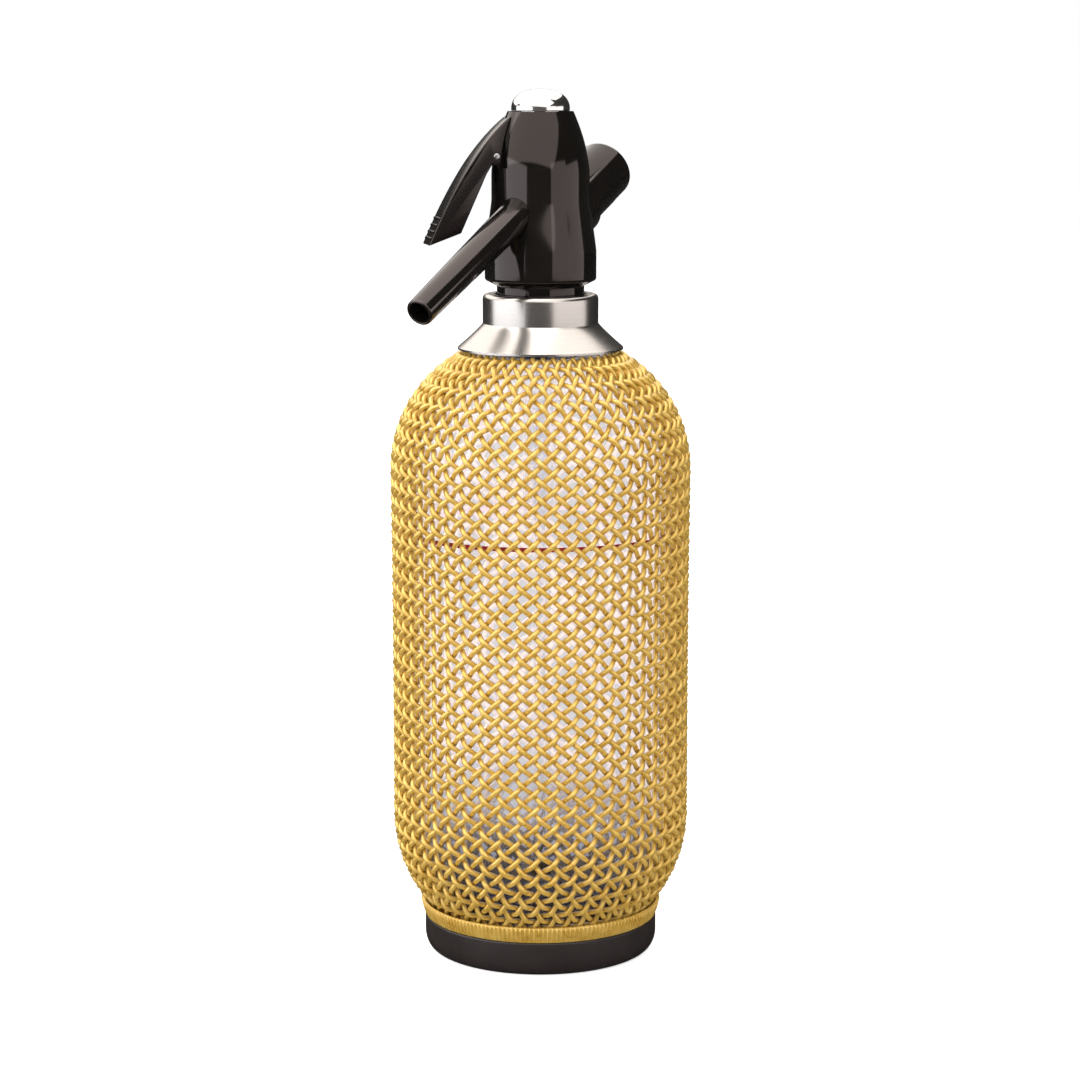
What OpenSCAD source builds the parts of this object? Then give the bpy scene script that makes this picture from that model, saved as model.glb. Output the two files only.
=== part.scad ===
// Soda siphon: glass bottle in a woven wire sleeve, with a screwed head that
// carries the dispensing lever, the valve, the spout and the gas charger.
// Origin at the middle of the foot, +Z up, spout towards -Y, charger towards +Y.

/* [Glass bottle] */
// Outer radius of the straight side
glass_r = 51.3; // [46:0.1:58]
// Thickness of the side wall
glass_wall = 3.8; // [2.5:0.1:5]
// Extra thickness at the middle of the base
base_extra = 3; // [0:0.5:6]
// Height of the straight side
side_h = 130.1; // [90:0.1:180]
// Radius of the curve between the side and the base
base_arc = 48; // [42:0.5:50]
// Radius of the shoulder
shoulder_arc = 45.5; // [40:0.1:47]
// Radius of the bore of the neck
neck_bore_r = 12; // [11:0.1:12.5]
// Thickness of the wall of the neck
neck_wall = 3.4; // [2.8:0.1:3.8]
// Radius of the hollow between the shoulder and the neck
neck_fillet = 2; // [1:0.1:3]
// How far the bead of the lip stands out of the neck
bead_out = 2.2; // [1.5:0.1:2.5]
// Height of the bead of the lip
bead_h = 4; // [3:0.1:6]
// Length of plain neck under the bead
neck_plain_h = 2.4; // [2:0.1:4]

/* [Wire sleeve] */
// Wires in each hand of the weave
wires_per_hand = 48; // [24:1:60]
// Width of a wire
wire_w = 1.5; // [0.8:0.1:1.8]
// Length of a wire from one crossing to the next
wire_step = 4.76; // [4.6:0.02:6]
// How far the lower edge of the ribbed band stands out over the foot
band_out = 0; // [-0.2:0.1:2]
// How much wider the band is at its upper edge
band_flare = 1.8; // [0:0.1:3]
// Height of the ribbed band
band_h = 5.2; // [3:0.1:8]
// Ribs round the band
band_ribs = 96; // [48:1:120]
// Depth of the grooves between the ribs
band_groove = 0.5; // [0.2:0.1:1]

/* [Foot] */
// How far the side of the foot stands in from the side of the glass
foot_inset = 7.8; // [7:0.1:9]
// Height of the foot
foot_h = 12.8; // [9:0.1:16]
// Rounding of the lower edge of the foot
foot_edge = 6.5; // [3:0.1:8]
// Thickness of the floor of the foot
foot_floor = 2.8; // [2:0.1:5]
// Depth of the ring-shaped hollow under the foot
foot_recess = 1; // [0.5:0.1:1.5]
// Radius of the flat pad in the middle of the foot
foot_pad_r = 14; // [8:0.5:20]

/* [Neck collar] */
// Outer radius of the upright part of the collar
collar_r = 21.3; // [20.6:0.1:24]
// Thickness of the steel
collar_t = 0.8; // [0.6:0.1:1]
// Height of the upright part of the collar
collar_h = 11.3; // [9:0.1:14]
// Height of the flared skirt
skirt_h = 9; // [7:0.1:11]
// Outer radius of the lower edge of the flared skirt
skirt_r = 30.5; // [27:0.1:32]
// Rounding of the upper edge of the collar
collar_edge = 1.8; // [1:0.1:2.5]

/* [Head] */
// Radius of the screwed plug under the head
plug_r = 16.4; // [15.5:0.1:16.8]
// Largest radius of the head, at its foot
head_base_r = 20.5; // [18.5:0.1:23]
// Radius of the waist
waist_r = 17.8; // [17:0.1:19]
// Radius at the top of the head
crown_r = 11.8; // [11.2:0.1:13]
// Width of the gap between the collar and the foot of the head
head_gap = 3; // [2:0.1:5]
// Height of the chamfer at the foot of the head
head_chamfer_h = 2; // [1:0.1:3]
// Height of the straight foot of the head
head_base_h = 12.5; // [10:0.1:18]
// Height of the curve from the foot to the waist
head_curve_h = 15; // [6:0.1:18]
// Height of the straight waist
waist_h = 11; // [9:0.1:20]
// Height of the tapered crown
crown_h = 23; // [20:0.1:28]

/* [Top cap] */
// Radius of the band of the cap
cap_r = 10.7; // [10.2:0.1:11.2]
// Height of the band of the cap
cap_band_h = 4.5; // [3:0.1:6]
// Height of the dome over the band
cap_dome_h = 3.5; // [2:0.1:5]
// Radius of the screwed spigot of the cap
cap_spigot_r = 8.5; // [8:0.1:9]
// Length of the spigot of the cap
cap_spigot_h = 6; // [5:0.1:7]

/* [Valve] */
// Radius of the valve chamber
chamber_r = 4.6; // [4.2:0.1:5]
// Radius of the spring space over the chamber
spring_space_r = 6.5; // [6.2:0.1:6.8]
// Radius of the rod of the piston
rod_r = 2.4; // [2:0.1:2.6]
// Radius of the collar of the piston
piston_collar_r = 5.5; // [5:0.1:5.8]
// Mean radius of the spring
spring_r = 4.4; // [4:0.1:4.6]
// Thickness of the spring wire
spring_d = 0.9; // [0.6:0.1:1]
// Turns of the spring
spring_turns = 5.5; // [4:0.5:7]

/* [Lever] */
// Width of the lever at its grip
lever_w = 14.4; // [13:0.1:16]
// Width of the lever at its upper end
lever_top_w = 10; // [8:0.1:12]
// Thickness of the walls of the lever
lever_wall = 1.9; // [1.4:0.1:2.2]
// Distance of the pin from the axis of the head
pin_x = 17.6; // [17:0.1:18.4]
// Radius of the pin
pin_r = 1.15; // [0.9:0.05:1.4]
// Thickness of each of the two ears on the head
ear_t = 2; // [1.5:0.1:2.4]
// Width of the finger that lifts the piston
finger_w = 4.6; // [4:0.1:5]
// Ridges on the grip
grip_ridges = 4; // [2:1:5]
// Angle through which the lever is squeezed
lever_angle = 14; // [8:1:14]

/* [Spout] */
// Slope of the spout below the horizontal
spout_slope = 27; // [22:1:32]
// Distance of the tip from the axis of the head, along the spout
spout_reach = 86.8; // [70:0.1:100]
// Outer radius at the root
spout_root_r = 6.4; // [6:0.1:7]
// Outer radius at the tip
spout_tip_r = 5; // [4.6:0.1:5.8]
// Radius of the bore of the spout
spout_bore_r = 3.2; // [2.5:0.1:3.6]
// Radius of the spigot that goes into the head
spout_spigot_r = 5; // [4.8:0.1:5.2]

/* [Charger] */
// Slope of the charger holder above the horizontal
charger_slope = 27; // [24:1:30]
// Outer radius of the charger holder
holder_r = 11; // [10.9:0.1:12]
// Radius of the screwed end of the holder
holder_spigot_r = 10.8; // [10.7:0.1:10.9]
// Thickness of the end of the holder
holder_end_t = 2.2; // [1.6:0.1:3]
// Rounding of the outer edge of the holder
holder_edge = 2; // [1:0.1:3]
// Radius of the charger bulb
bulb_r = 9.3; // [9.2:0.05:9.4]
// Length of the charger bulb
bulb_l = 65; // [63:0.5:66]

/* [Tubes] */
// Outer radius of the riser tube
riser_r = 3; // [2.5:0.1:3.5]
// Thickness of the wall of the riser tube
riser_wall = 1; // [0.6:0.1:1.2]
// Outer radius of the measuring tube
measure_r = 6.5; // [6:0.1:6.7]
// Thickness of the wall of the measuring tube
measure_wall = 1; // [0.6:0.1:1.2]
// Length of the measuring tube
measure_l = 73; // [50:1:90]

/* [Hidden] */
$fn = 96;

// Clearances
seat_gap = 0.2;   // between pieces of one body that rest on each other
run_gap = 0.1;    // round a screwed or running fit
press_gap = 0.02; // round a piece pressed into a hole
free_gap = 0.35;  // between pieces that pass each other

// Glass bottle and foot
foot_r = glass_r - foot_inset;
band_r = foot_r + band_out;
foot_land = 4;
base_dish = 18;
glass_z = foot_recess + foot_floor + seat_gap;
base_c = [glass_r - base_arc, glass_z + base_arc];
shoulder_c = [glass_r - shoulder_arc, base_c[1] + side_h];
neck_r = neck_bore_r + neck_wall;
bead_r = neck_r + bead_out;
fillet_c = [neck_r + neck_fillet, shoulder_c[1]
  + sqrt(pow(shoulder_arc + neck_fillet, 2) - pow(neck_r + neck_fillet - shoulder_c[0], 2))];
bead_z = fillet_c[1] + neck_plain_h;
lip_z = bead_z + bead_h;

// Collar and head levels
gasket_t = 1.8;
plug_z = lip_z + gasket_t;
thread_h = 9.4;
collar_top = plug_z + thread_h + collar_t;
collar_bend_z = collar_top - collar_h;
head_z = collar_top + head_gap;
base_z = head_z + head_chamfer_h;
curve_z = base_z + head_base_h;
waist_z = curve_z + head_curve_h;
crown_z = waist_z + waist_h;
head_top = crown_z + crown_h;
crown_power = 1.7;

// Valve levels, counted down from the top of the head
cap_ledge_z = head_top - cap_spigot_h - 1;
piston_collar_t = 2;
piston_collar_z = cap_ledge_z - 8.3;
finger_drop = 0.3;
chamber_top = piston_collar_z - 3.8;
chamber_z = chamber_top - 11.2;
seat_t = 2;
disc_t = 1.6;
ring_d = 1.2;
inlet_r = 1.8;
passage_r = 1.5;
adapter_r = 8;
adapter_h = 4.8;
finger_reach = 4;
piston_lift = (pin_x - finger_reach) * lever_angle * PI / 180;
ring_z = chamber_top - piston_lift - ring_d / 2 - 0.05;
spring_top = head_top + 0.6;

// Lever
lever_turn = 225;
pin_z = piston_collar_z - 0.8;
ear_r = 3.2;
flange_r = 2.8;
lever_top = [12, pin_z + 14.6];
lever_bend_a = [26, pin_z + 3.6];
lever_bend_b = [36.4, pin_z - 17.4];
lever_tip = [42.6, pin_z - 32];
lever_heel = [30.8, pin_z - 27.6];
lever_fork = [21.4, pin_z - 6.4];
ear_gap = finger_w / 2 + 0.3;
flange_in = ear_gap + ear_t + free_gap;
slot_top = pin_z + 2.6 + piston_lift;
slot_bottom = chamber_top;

// Spout
spout_z = crown_z - 5.8;
spout_socket_s = 10;
spout_shoulder_s = 16;
spout_tip_wall = 1;

// Charger
charger_z = curve_z + 4;
bulb_base_s = 48.7;
bulb_tip_s = bulb_base_s - bulb_l;
cell_gap = 0.3;
cell_r = bulb_r + cell_gap;
boss_r = holder_spigot_r + run_gap + 1.7;
boss_s = 24;
holder_thread_l = 11;
bulb_neck_r = 4.4;
bulb_neck_l = 3.2;
bulb_shoulder_l = 13;
pin_disc_r = 3;
pin_base_s = bulb_tip_s - 3.3;

// Points along an arc, and the curve of the lever
function along_arc(c, r, a0, a1, n) = [for (i = [0 : n]) let (a = a0 + (a1 - a0) * i / n)
  [c[0] + r * cos(a), c[1] + r * sin(a)]];
function bezier(p, t) = pow(1 - t, 3) * p[0] + 3 * t * pow(1 - t, 2) * p[1]
  + 3 * t * t * (1 - t) * p[2] + pow(t, 3) * p[3];
function bezier_dir(p, t) = let (d = 3 * pow(1 - t, 2) * (p[1] - p[0])
  + 6 * t * (1 - t) * (p[2] - p[1]) + 3 * t * t * (p[3] - p[2])) d / norm(d);
function bezier_off(p, t, off) = let (d = bezier_dir(p, t)) bezier(p, t) + off * [d[1], -d[0]];

module revolve(points) { rotate_extrude() polygon(points); }
module towards_spout() { translate([0, 0, spout_z]) rotate([90 + spout_slope, 0, 0]) children(); }
module towards_charger() { translate([0, 0, charger_z]) rotate([charger_slope - 90, 0, 0]) children(); }
module towards_lever() { rotate([0, 0, lever_turn]) children(); }
// A plate in the plane of the lever, spread evenly about it
module plate(points, width) { rotate([90, 0, 0]) linear_extrude(width, center = true) polygon(points); }

// Glass bottle: one revolve, outside up and inside down
function glass_outline() = let (
  in_base = base_arc - glass_wall,
  in_shoulder = shoulder_arc - glass_wall,
  base_low = acos(-base_c[0] / base_arc),
  in_low = acos(-base_c[0] / in_base),
  fil = atan2(fillet_c[1] - shoulder_c[1], fillet_c[0] - shoulder_c[0]),
  in_top = acos((neck_bore_r - shoulder_c[0]) / in_shoulder)
) concat(
  [[0, base_c[1] - sqrt(pow(base_arc, 2) - pow(base_c[0], 2))]],
  along_arc(base_c, base_arc, -base_low + 3, 0, 20),
  along_arc(shoulder_c, shoulder_arc, 0, fil, 18),
  along_arc(fillet_c, neck_fillet, 180 + fil, 180, 4),
  [[neck_r, bead_z - 0.6], [bead_r - 0.6, bead_z]],
  along_arc([bead_r - 1, lip_z - 1], 1, -30, 90, 5),
  along_arc([neck_bore_r + 1, lip_z - 1], 1, 90, 180, 4),
  along_arc(shoulder_c, in_shoulder, in_top, 0, 16),
  along_arc(base_c, in_base, 0, -in_low + base_dish, 14),
  [[0, base_c[1] - in_base + base_extra]]
);
module glass_bottle() { color([0.86, 0.9, 0.93, 0.4]) revolve(glass_outline()); }

// Wire sleeve. Each wire climbs the bottle so that the length from one
// crossing to the next stays the same while the sleeve narrows.
mesh_rings = 20;
skin_gap = 0.6;
inner_layer = skin_gap + wire_w * 0.4;
outer_layer = inner_layer + wire_w * 1.22;
mesh_low_a = -asin((base_c[1] - foot_h - seat_gap - wire_w * 0.65) / (base_arc + outer_layer));
mesh_high_a = acos((skirt_r - 2.5 - shoulder_c[0]) / (shoulder_arc + inner_layer));
low_l = -mesh_low_a * PI / 180 * base_arc;
high_l = mesh_high_a * PI / 180 * shoulder_arc;
mesh_l = low_l + side_h + high_l;
// Point and outward direction of the glass at a length along its outline
function skin_a(s) = s < low_l ? -(low_l - s) / base_arc * 180 / PI
  : s < low_l + side_h ? 0 : (s - low_l - side_h) / shoulder_arc * 180 / PI;
function skin_p(s) = let (a = skin_a(s))
  s < low_l ? base_c + base_arc * [cos(a), sin(a)]
  : s < low_l + side_h ? [glass_r, base_c[1] + s - low_l]
  : shoulder_c + shoulder_arc * [cos(a), sin(a)];
function wire_rate(s) = let (half = PI * (skin_p(s)[0] + inner_layer) / wires_per_hand)
  180 / wires_per_hand / sqrt(pow(wire_step, 2) - pow(half, 2));
wire_turn = [for (i = 0, a = 0; i <= mesh_rings; a = a
  + wire_rate((i + 0.5) * mesh_l / mesh_rings) * mesh_l / mesh_rings, i = i + 1) a];
module wires(hand, layer) {
  for (w = [0 : wires_per_hand - 1]) {
    points = [for (i = [0 : mesh_rings])
      let (s = i * mesh_l / mesh_rings, a = skin_a(s), p = skin_p(s) + layer * [cos(a), sin(a)],
        th = w * 360 / wires_per_hand + hand * wire_turn[i],
        out = [cos(a) * cos(th), cos(a) * sin(th), sin(a)],
        climb = [-sin(a) * cos(th), -sin(a) * sin(th), cos(a)],
        round = [-sin(th), cos(th), 0],
        run = climb + round * hand * wire_rate(s) * PI / 180 * p[0],
        side = cross(out, run / norm(run)))
      each [for (k = [0 : 2]) [p[0] * cos(th), p[0] * sin(th), p[1]]
        + wire_w * 0.58 * (out * cos(k * 120) + side * sin(k * 120))]];
    faces = concat([[0, 1, 2]], [[3 * mesh_rings + 2, 3 * mesh_rings + 1, 3 * mesh_rings]],
      [for (i = [0 : mesh_rings - 1]) for (k = [0 : 2]) let (b = 3 * i, n = (k + 1) % 3)
        each [[b + k, b + 3 + k, b + 3 + n], [b + k, b + 3 + n, b + n]]]);
    polyhedron(points, faces);
  }
}
module mesh_wires_left() { color([0.82, 0.64, 0.25]) wires(1, inner_layer); }
module mesh_wires_right() { color([0.86, 0.68, 0.28]) wires(-1, outer_layer); }

// Ribbed band that gathers the ends of the wires on the foot
band_z = foot_h;
function band_in(z) = let (r = base_arc + outer_layer + wire_w * 0.58 + seat_gap)
  base_c[0] + sqrt(r * r - pow(base_c[1] - z, 2));
module mesh_foot_band() {
  color([0.85, 0.66, 0.25])
    difference() {
      intersection() {
        revolve([[band_in(band_z), band_z], [band_r, band_z],
          [band_r + band_flare, band_z + band_h], [band_in(band_z + band_h), band_z + band_h]]);
        translate([0, 0, band_z - 1])
          linear_extrude(band_h + 2)
            polygon([for (i = [0 : 4 * band_ribs - 1]) let (a = i * 90 / band_ribs,
              r = band_r + band_flare + 0.1 - (i % 4 == 3 ? band_groove : i % 4 == 1 ? 0 : 0.15))
              [r * cos(a), r * sin(a)]]);
      }
      translate([0, 0, band_z - 1]) cylinder(h = 1, r = band_r + 3);
    }
}

// Foot: a cup that takes the curved base of the bottle
module foot_ring() {
  low = foot_recess + foot_floor;
  cup_r = base_arc + seat_gap;
  cup_top = asin((base_c[1] - foot_h) / cup_r);
  cup_low = asin((base_c[1] - low - seat_gap) / cup_r);
  land_r = foot_r - foot_edge - foot_land;
  color([0.1, 0.1, 0.1])
    revolve(concat(
      [[0, 0], [foot_pad_r, 0], [foot_pad_r + foot_recess, foot_recess], [land_r - foot_recess, foot_recess], [land_r, 0]],
      along_arc([foot_r - foot_edge, foot_edge], foot_edge, -90, 0, 8),
      along_arc([foot_r - 0.6, foot_h - 0.6], 0.6, 0, 90, 3),
      along_arc(base_c, cup_r, -cup_top, -cup_low, 9),
      [[0, low]]));
}

// Steel collar over the neck
insert_r = collar_r - collar_t - seat_gap;
function collar_line(off) = concat(
  [[skirt_r - off, collar_bend_z - skirt_h], [skirt_r - off, collar_bend_z - skirt_h + 0.8]],
  [for (t = [0.35, 0.7]) [collar_r - off + (skirt_r - collar_r) * (1 - t) * (1 - 0.12 * sin(180 * t)),
    collar_bend_z - skirt_h + 0.8 + (skirt_h - 0.8) * t]],
  [[collar_r - off + 0.3, collar_bend_z - 0.4], [collar_r - off, collar_bend_z + 0.6]]);
module neck_collar() {
  out = collar_line(0);
  back = collar_line(collar_t);
  color([0.8, 0.78, 0.76])
    revolve(concat(out,
      along_arc([collar_r - collar_edge, collar_top - collar_edge], collar_edge, 0, 90, 6),
      [[plug_r + 0.6, collar_top], [plug_r + 0.6, collar_top - collar_t]],
      along_arc([collar_r - collar_edge, collar_top - collar_edge], collar_edge - collar_t, 90, 0, 4),
      [for (i = [len(back) - 1 : -1 : 0]) back[i]]));
}

// Threaded insert that grips the bead of the neck inside the collar
module collar_insert() {
  top = collar_top - collar_t;
  low = fillet_c[1] + 0.2;
  color([0.75, 0.75, 0.72])
    revolve([[neck_r + seat_gap, low], [insert_r - 1, low], [insert_r, low + 1], [insert_r, top - collar_edge],
      [insert_r - collar_edge, top], [plug_r + run_gap, top], [plug_r + run_gap, lip_z + 0.4],
      [bead_r + seat_gap, lip_z + 0.2], [bead_r + seat_gap, bead_z - seat_gap], [neck_r + seat_gap, bead_z - seat_gap - 0.5]]);
}

module head_gasket() {
  color([0.85, 0.84, 0.8])
    translate([0, 0, lip_z])
      difference() {
        cylinder(h = gasket_t, r = plug_r - 0.2);
        translate([0, 0, -1]) cylinder(h = gasket_t + 2, r = neck_bore_r + 0.4);
      }
}

// Outline of the head, from the plug up to the seat of the cap
function head_outline(off) = concat(
  [[0, plug_z], [plug_r + off, plug_z], [plug_r + off, head_z], [head_base_r - 0.6 + off, base_z - 0.4],
    [head_base_r + off, base_z + 0.4]],
  [for (i = [0 : 8]) let (t = i / 8)
    [waist_r + (head_base_r - waist_r) * (0.5 + 0.5 * cos(180 * t)) + off, curve_z + head_curve_h * t]],
  [for (i = [0 : 10]) let (t = i / 10)
    [waist_r - (waist_r - crown_r) * pow(t, crown_power) + off, crown_z + crown_h * t]],
  [[0, head_top]]);
// Ear for the lever's pin, and its wall into the head
module ears() {
  for (side = [-1, 1])
    translate([0, side * (ear_gap + ear_t / 2), 0]) {
      translate([pin_x, 0, pin_z]) rotate([90, 0, 0]) cylinder(h = ear_t, r = ear_r, center = true);
      plate([[8, pin_z - ear_r - 3.5], [pin_x - 2, pin_z - ear_r - 1.5], [pin_x, pin_z - ear_r],
        [pin_x, pin_z + ear_r], [8, pin_z + ear_r]], ear_t);
    }
}
// Room for the two flanges of the lever beside the ears
module flange_room() {
  for (side = [-1, 1])
    translate([pin_x - flange_r - free_gap, side > 0 ? flange_in - free_gap : -12, pin_z - flange_r - 1.4])
      cube([12, 12 - flange_in + free_gap, head_top]);
}
// Neck and shoulder of the charger bulb, grown by a gap
function bulb_shoulder(gap) = concat([[bulb_neck_r + gap, bulb_tip_s + 0.3]],
  [for (i = [0 : 8]) let (t = i / 8) [bulb_neck_r + (bulb_r - bulb_neck_r) * (0.5 - 0.5 * cos(180 * t)) + gap,
    bulb_tip_s + bulb_neck_l - gap + (bulb_shoulder_l - bulb_neck_l) * t]]);
module bulb_cell() {
  far = 2 * bulb_l;
  translate([0, 0, pin_base_s]) cylinder(h = bulb_tip_s - pin_base_s + 1, r = pin_disc_r + press_gap);
  revolve(concat([[0, bulb_tip_s - seat_gap], [bulb_neck_r + cell_gap, bulb_tip_s - seat_gap]],
    bulb_shoulder(cell_gap), [[cell_r, far], [0, far]]));
  translate([0, 0, boss_s - holder_thread_l - 0.5]) cylinder(h = far, r = holder_spigot_r + run_gap);
  translate([0, 0, boss_s]) cylinder(h = far, r = holder_r + run_gap);
}
module head_housing() {
  color([0.09, 0.09, 0.09])
    difference() {
      union() {
        difference() {
          union() {
            revolve(head_outline(0));
            towards_charger() cylinder(h = boss_s, r = boss_r);
          }
          towards_lever() flange_room();
        }
        towards_lever() ears();
      }
      // Valve chamber, spring space and seat of the cap
      translate([0, 0, chamber_z]) cylinder(h = 20, r = chamber_r);
      translate([0, 0, chamber_z - 2]) cylinder(h = 4, r = inlet_r);
      translate([0, 0, chamber_top]) cylinder(h = 40, r = spring_space_r);
      translate([0, 0, cap_ledge_z]) cylinder(h = 20, r = cap_spigot_r + run_gap);
      // Slot for the finger of the lever, and the hole for its pin
      towards_lever() {
        translate([4, -ear_gap, slot_bottom]) cube([20, 2 * ear_gap, slot_top - slot_bottom]);
        translate([pin_x, 0, pin_z]) rotate([90, 0, 0]) cylinder(h = 2 * head_base_r, r = pin_r + press_gap, center = true);
      }
      // Spout socket and the passage from the valve chamber
      towards_spout() {
        translate([0, 0, spout_socket_s]) cylinder(h = spout_reach, r = spout_spigot_r + press_gap);
        translate([0, 0, spout_shoulder_s]) cylinder(h = spout_reach, r = spout_root_r + 0.05);
      }
      translate([0, 0, chamber_z + 7.6]) rotate([135, 0, 0]) cylinder(h = spout_socket_s + chamber_r, r = passage_r);
      // Charger cell
      towards_charger() bulb_cell();
      // Seat of the tube adapter
      translate([0, 0, plug_z - 1]) cylinder(h = adapter_h + seat_gap + 1, r = adapter_r + press_gap);
    }
}

// Chrome cap: a hollow dome with a screwed spigot
module top_cap() {
  color([0.85, 0.85, 0.87])
    revolve(concat(
      [[spring_space_r, cap_ledge_z + 1], [cap_spigot_r, cap_ledge_z + 1], [cap_spigot_r, head_top + 0.1],
        [cap_r - 0.3, head_top + 0.1], [cap_r, head_top + 0.4]],
      [for (i = [0 : 8]) let (a = 90 * i / 8)
        [cap_r * cos(a), head_top + cap_band_h + cap_dome_h * sin(a)]],
      [[0, spring_top], [spring_space_r, spring_top]]));
}
module top_cap_seal() {
  color([0.2, 0.2, 0.2])
    translate([0, 0, cap_ledge_z])
      difference() {
        cylinder(h = 1, r = cap_spigot_r);
        translate([0, 0, -1]) cylinder(h = 3, r = spring_space_r + 0.1);
      }
}

module valve_seat() {
  color([0.85, 0.85, 0.82])
    translate([0, 0, chamber_z])
      difference() {
        cylinder(h = seat_t, r = chamber_r - press_gap);
        translate([0, 0, -1]) cylinder(h = seat_t + 2, r = inlet_r);
      }
}
module valve_disc() {
  color([0.7, 0.2, 0.15]) translate([0, 0, chamber_z + seat_t]) cylinder(h = disc_t, r = chamber_r - 1.2);
}
// Piston: foot on the disc, land with the ring groove, rod and collar
module valve_piston() {
  foot_z = chamber_z + seat_t + disc_t;
  land_r = chamber_r - 0.1;
  groove_r = chamber_r - 0.05 - ring_d;
  color([0.8, 0.72, 0.5])
    revolve([[0, foot_z], [land_r - 0.6, foot_z], [land_r - 0.6, ring_z - 1.7],
      [land_r, ring_z - 1.4], [land_r, ring_z - ring_d / 2], [groove_r, ring_z - ring_d / 2],
      [groove_r, ring_z + ring_d / 2], [land_r, ring_z + ring_d / 2], [land_r, ring_z + 1.4], [rod_r, ring_z + 1.8],
      [rod_r, piston_collar_z], [piston_collar_r, piston_collar_z],
      [piston_collar_r, piston_collar_z + piston_collar_t], [rod_r, piston_collar_z + piston_collar_t],
      [rod_r, cap_ledge_z - 0.5], [rod_r - 0.6, cap_ledge_z], [0, cap_ledge_z]]);
}
module piston_o_ring() {
  color([0.12, 0.12, 0.12])
    translate([0, 0, ring_z]) rotate_extrude() translate([chamber_r - ring_d / 2 - 0.03, 0]) circle(d = ring_d - 0.04, $fn = 24);
}
// Spring: one tube swept along a helix between the piston collar and the cap
module valve_spring() {
  steps = 14;
  sides = 6;
  n = round(spring_turns * steps);
  low = piston_collar_z + piston_collar_t + spring_d / 2 + 0.05;
  rise = spring_top - spring_d / 2 - 0.05 - low;
  points = [for (i = [0 : n]) let (a = i * 360 / steps) each [for (k = [0 : sides - 1])
    let (b = k * 360 / sides, r = spring_r + spring_d / 2 * cos(b))
    [r * cos(a), r * sin(a), low + rise * i / n + spring_d / 2 * sin(b)]]];
  faces = concat([[for (k = [0 : sides - 1]) k]], [[for (k = [sides - 1 : -1 : 0]) n * sides + k]],
    [for (i = [0 : n - 1]) for (k = [0 : sides - 1]) let (b = i * sides, m = (k + 1) % sides)
      each [[b + k, b + sides + k, b + sides + m], [b + k, b + sides + m, b + m]]]);
  color([0.75, 0.75, 0.77]) polyhedron(points, faces);
}

// Lever: a channel with a blade, two flanges and a finger to the piston
lever_curve = [lever_top, lever_bend_a, lever_bend_b, lever_tip];
module lever_channel() {
  steps = 14;
  outer = [for (i = [0 : steps]) bezier(lever_curve, i / steps)];
  inner = [for (i = [0 : steps]) bezier_off(lever_curve, i / steps * 0.955, lever_wall)];
  difference() {
    plate(concat(outer, [lever_tip + [-0.6, -0.4], lever_heel, lever_fork, [pin_x, pin_z - flange_r],
      [pin_x - flange_r, pin_z], [pin_x - flange_r, pin_z + 2], [9, lever_top[1] - 1]]), lever_w);
    plate(concat(inner, [lever_heel + [1, 1.6], [lever_heel[0] - 20, lever_heel[1] + 1.6], [0, pin_z], [0, lever_top[1]]]),
      2 * flange_in);
    // Sides drawn in towards the top
    for (side = [-1, 1])
      rotate([90, 0, 90]) linear_extrude(100, center = true)
        polygon([[side * lever_w / 2, pin_z - 2], [side * lever_top_w / 2, lever_top[1]],
          [side * lever_top_w / 2, lever_top[1] + 5], [side * (lever_w + 5), lever_top[1] + 5],
          [side * (lever_w + 5), pin_z - 2]]);
  }
}
module lever_finger() {
  nose = rod_r + 0.8;
  plate([[nose, piston_collar_z - finger_drop], [nose + 3, piston_collar_z - finger_drop],
    [pin_x - 2, pin_z + 2.6], [pin_x + 4.5, pin_z + 2.6], [pin_x + 7, pin_z], [pin_x + 7, pin_z - 2.6],
    [pin_x - 1, pin_z - 2.6], [nose + 2, piston_collar_z - finger_drop - 3], [nose, piston_collar_z - finger_drop - 2]],
    finger_w);
}
module dispensing_lever() {
  color([0.1, 0.1, 0.1])
    towards_lever()
      difference() {
        union() {
          difference() {
            lever_channel();
            revolve(concat([[0, 200]], head_outline(free_gap), [[0, 400]]));
          }
          for (side = [-1, 1])
            translate([pin_x, side * (flange_in + (lever_w / 2 - flange_in) / 2), pin_z])
              rotate([90, 0, 0]) cylinder(h = lever_w / 2 - flange_in, r = flange_r, center = true);
          lever_finger();
          for (i = [0 : grip_ridges - 1]) let (p = bezier(lever_curve, 0.8 + 0.05 * i))
            translate([p[0] - 0.25, 0, p[1]]) rotate([90, 0, 0]) cylinder(h = lever_w - 1, r = 0.8, center = true);
        }
        translate([pin_x, 0, pin_z]) rotate([90, 0, 0]) cylinder(h = 2 * lever_w, r = pin_r + 0.05, center = true);
      }
}
module lever_pin() {
  color([0.8, 0.78, 0.74])
    towards_lever() translate([pin_x, 0, pin_z]) rotate([90, 0, 0]) cylinder(h = lever_w + 0.4, r = pin_r, center = true);
}

// Spout: tapered tube with a spigot in the head
module spout() {
  color([0.1, 0.1, 0.1])
    towards_spout()
      revolve([[spout_bore_r, spout_socket_s + 1], [spout_spigot_r, spout_socket_s + 1],
        [spout_spigot_r, spout_shoulder_s], [spout_root_r, spout_shoulder_s],
        [spout_tip_r + 0.15, spout_reach - 0.8], [spout_tip_r - 0.4, spout_reach],
        [spout_tip_r - spout_tip_wall, spout_reach], [spout_bore_r, spout_reach - 6]]);
}
module spout_seal() {
  color([0.15, 0.15, 0.15])
    towards_spout() translate([0, 0, spout_socket_s])
      difference() {
        cylinder(h = 1, r = spout_spigot_r);
        translate([0, 0, -1]) cylinder(h = 3, r = spout_bore_r - 0.5);
      }
}

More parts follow.
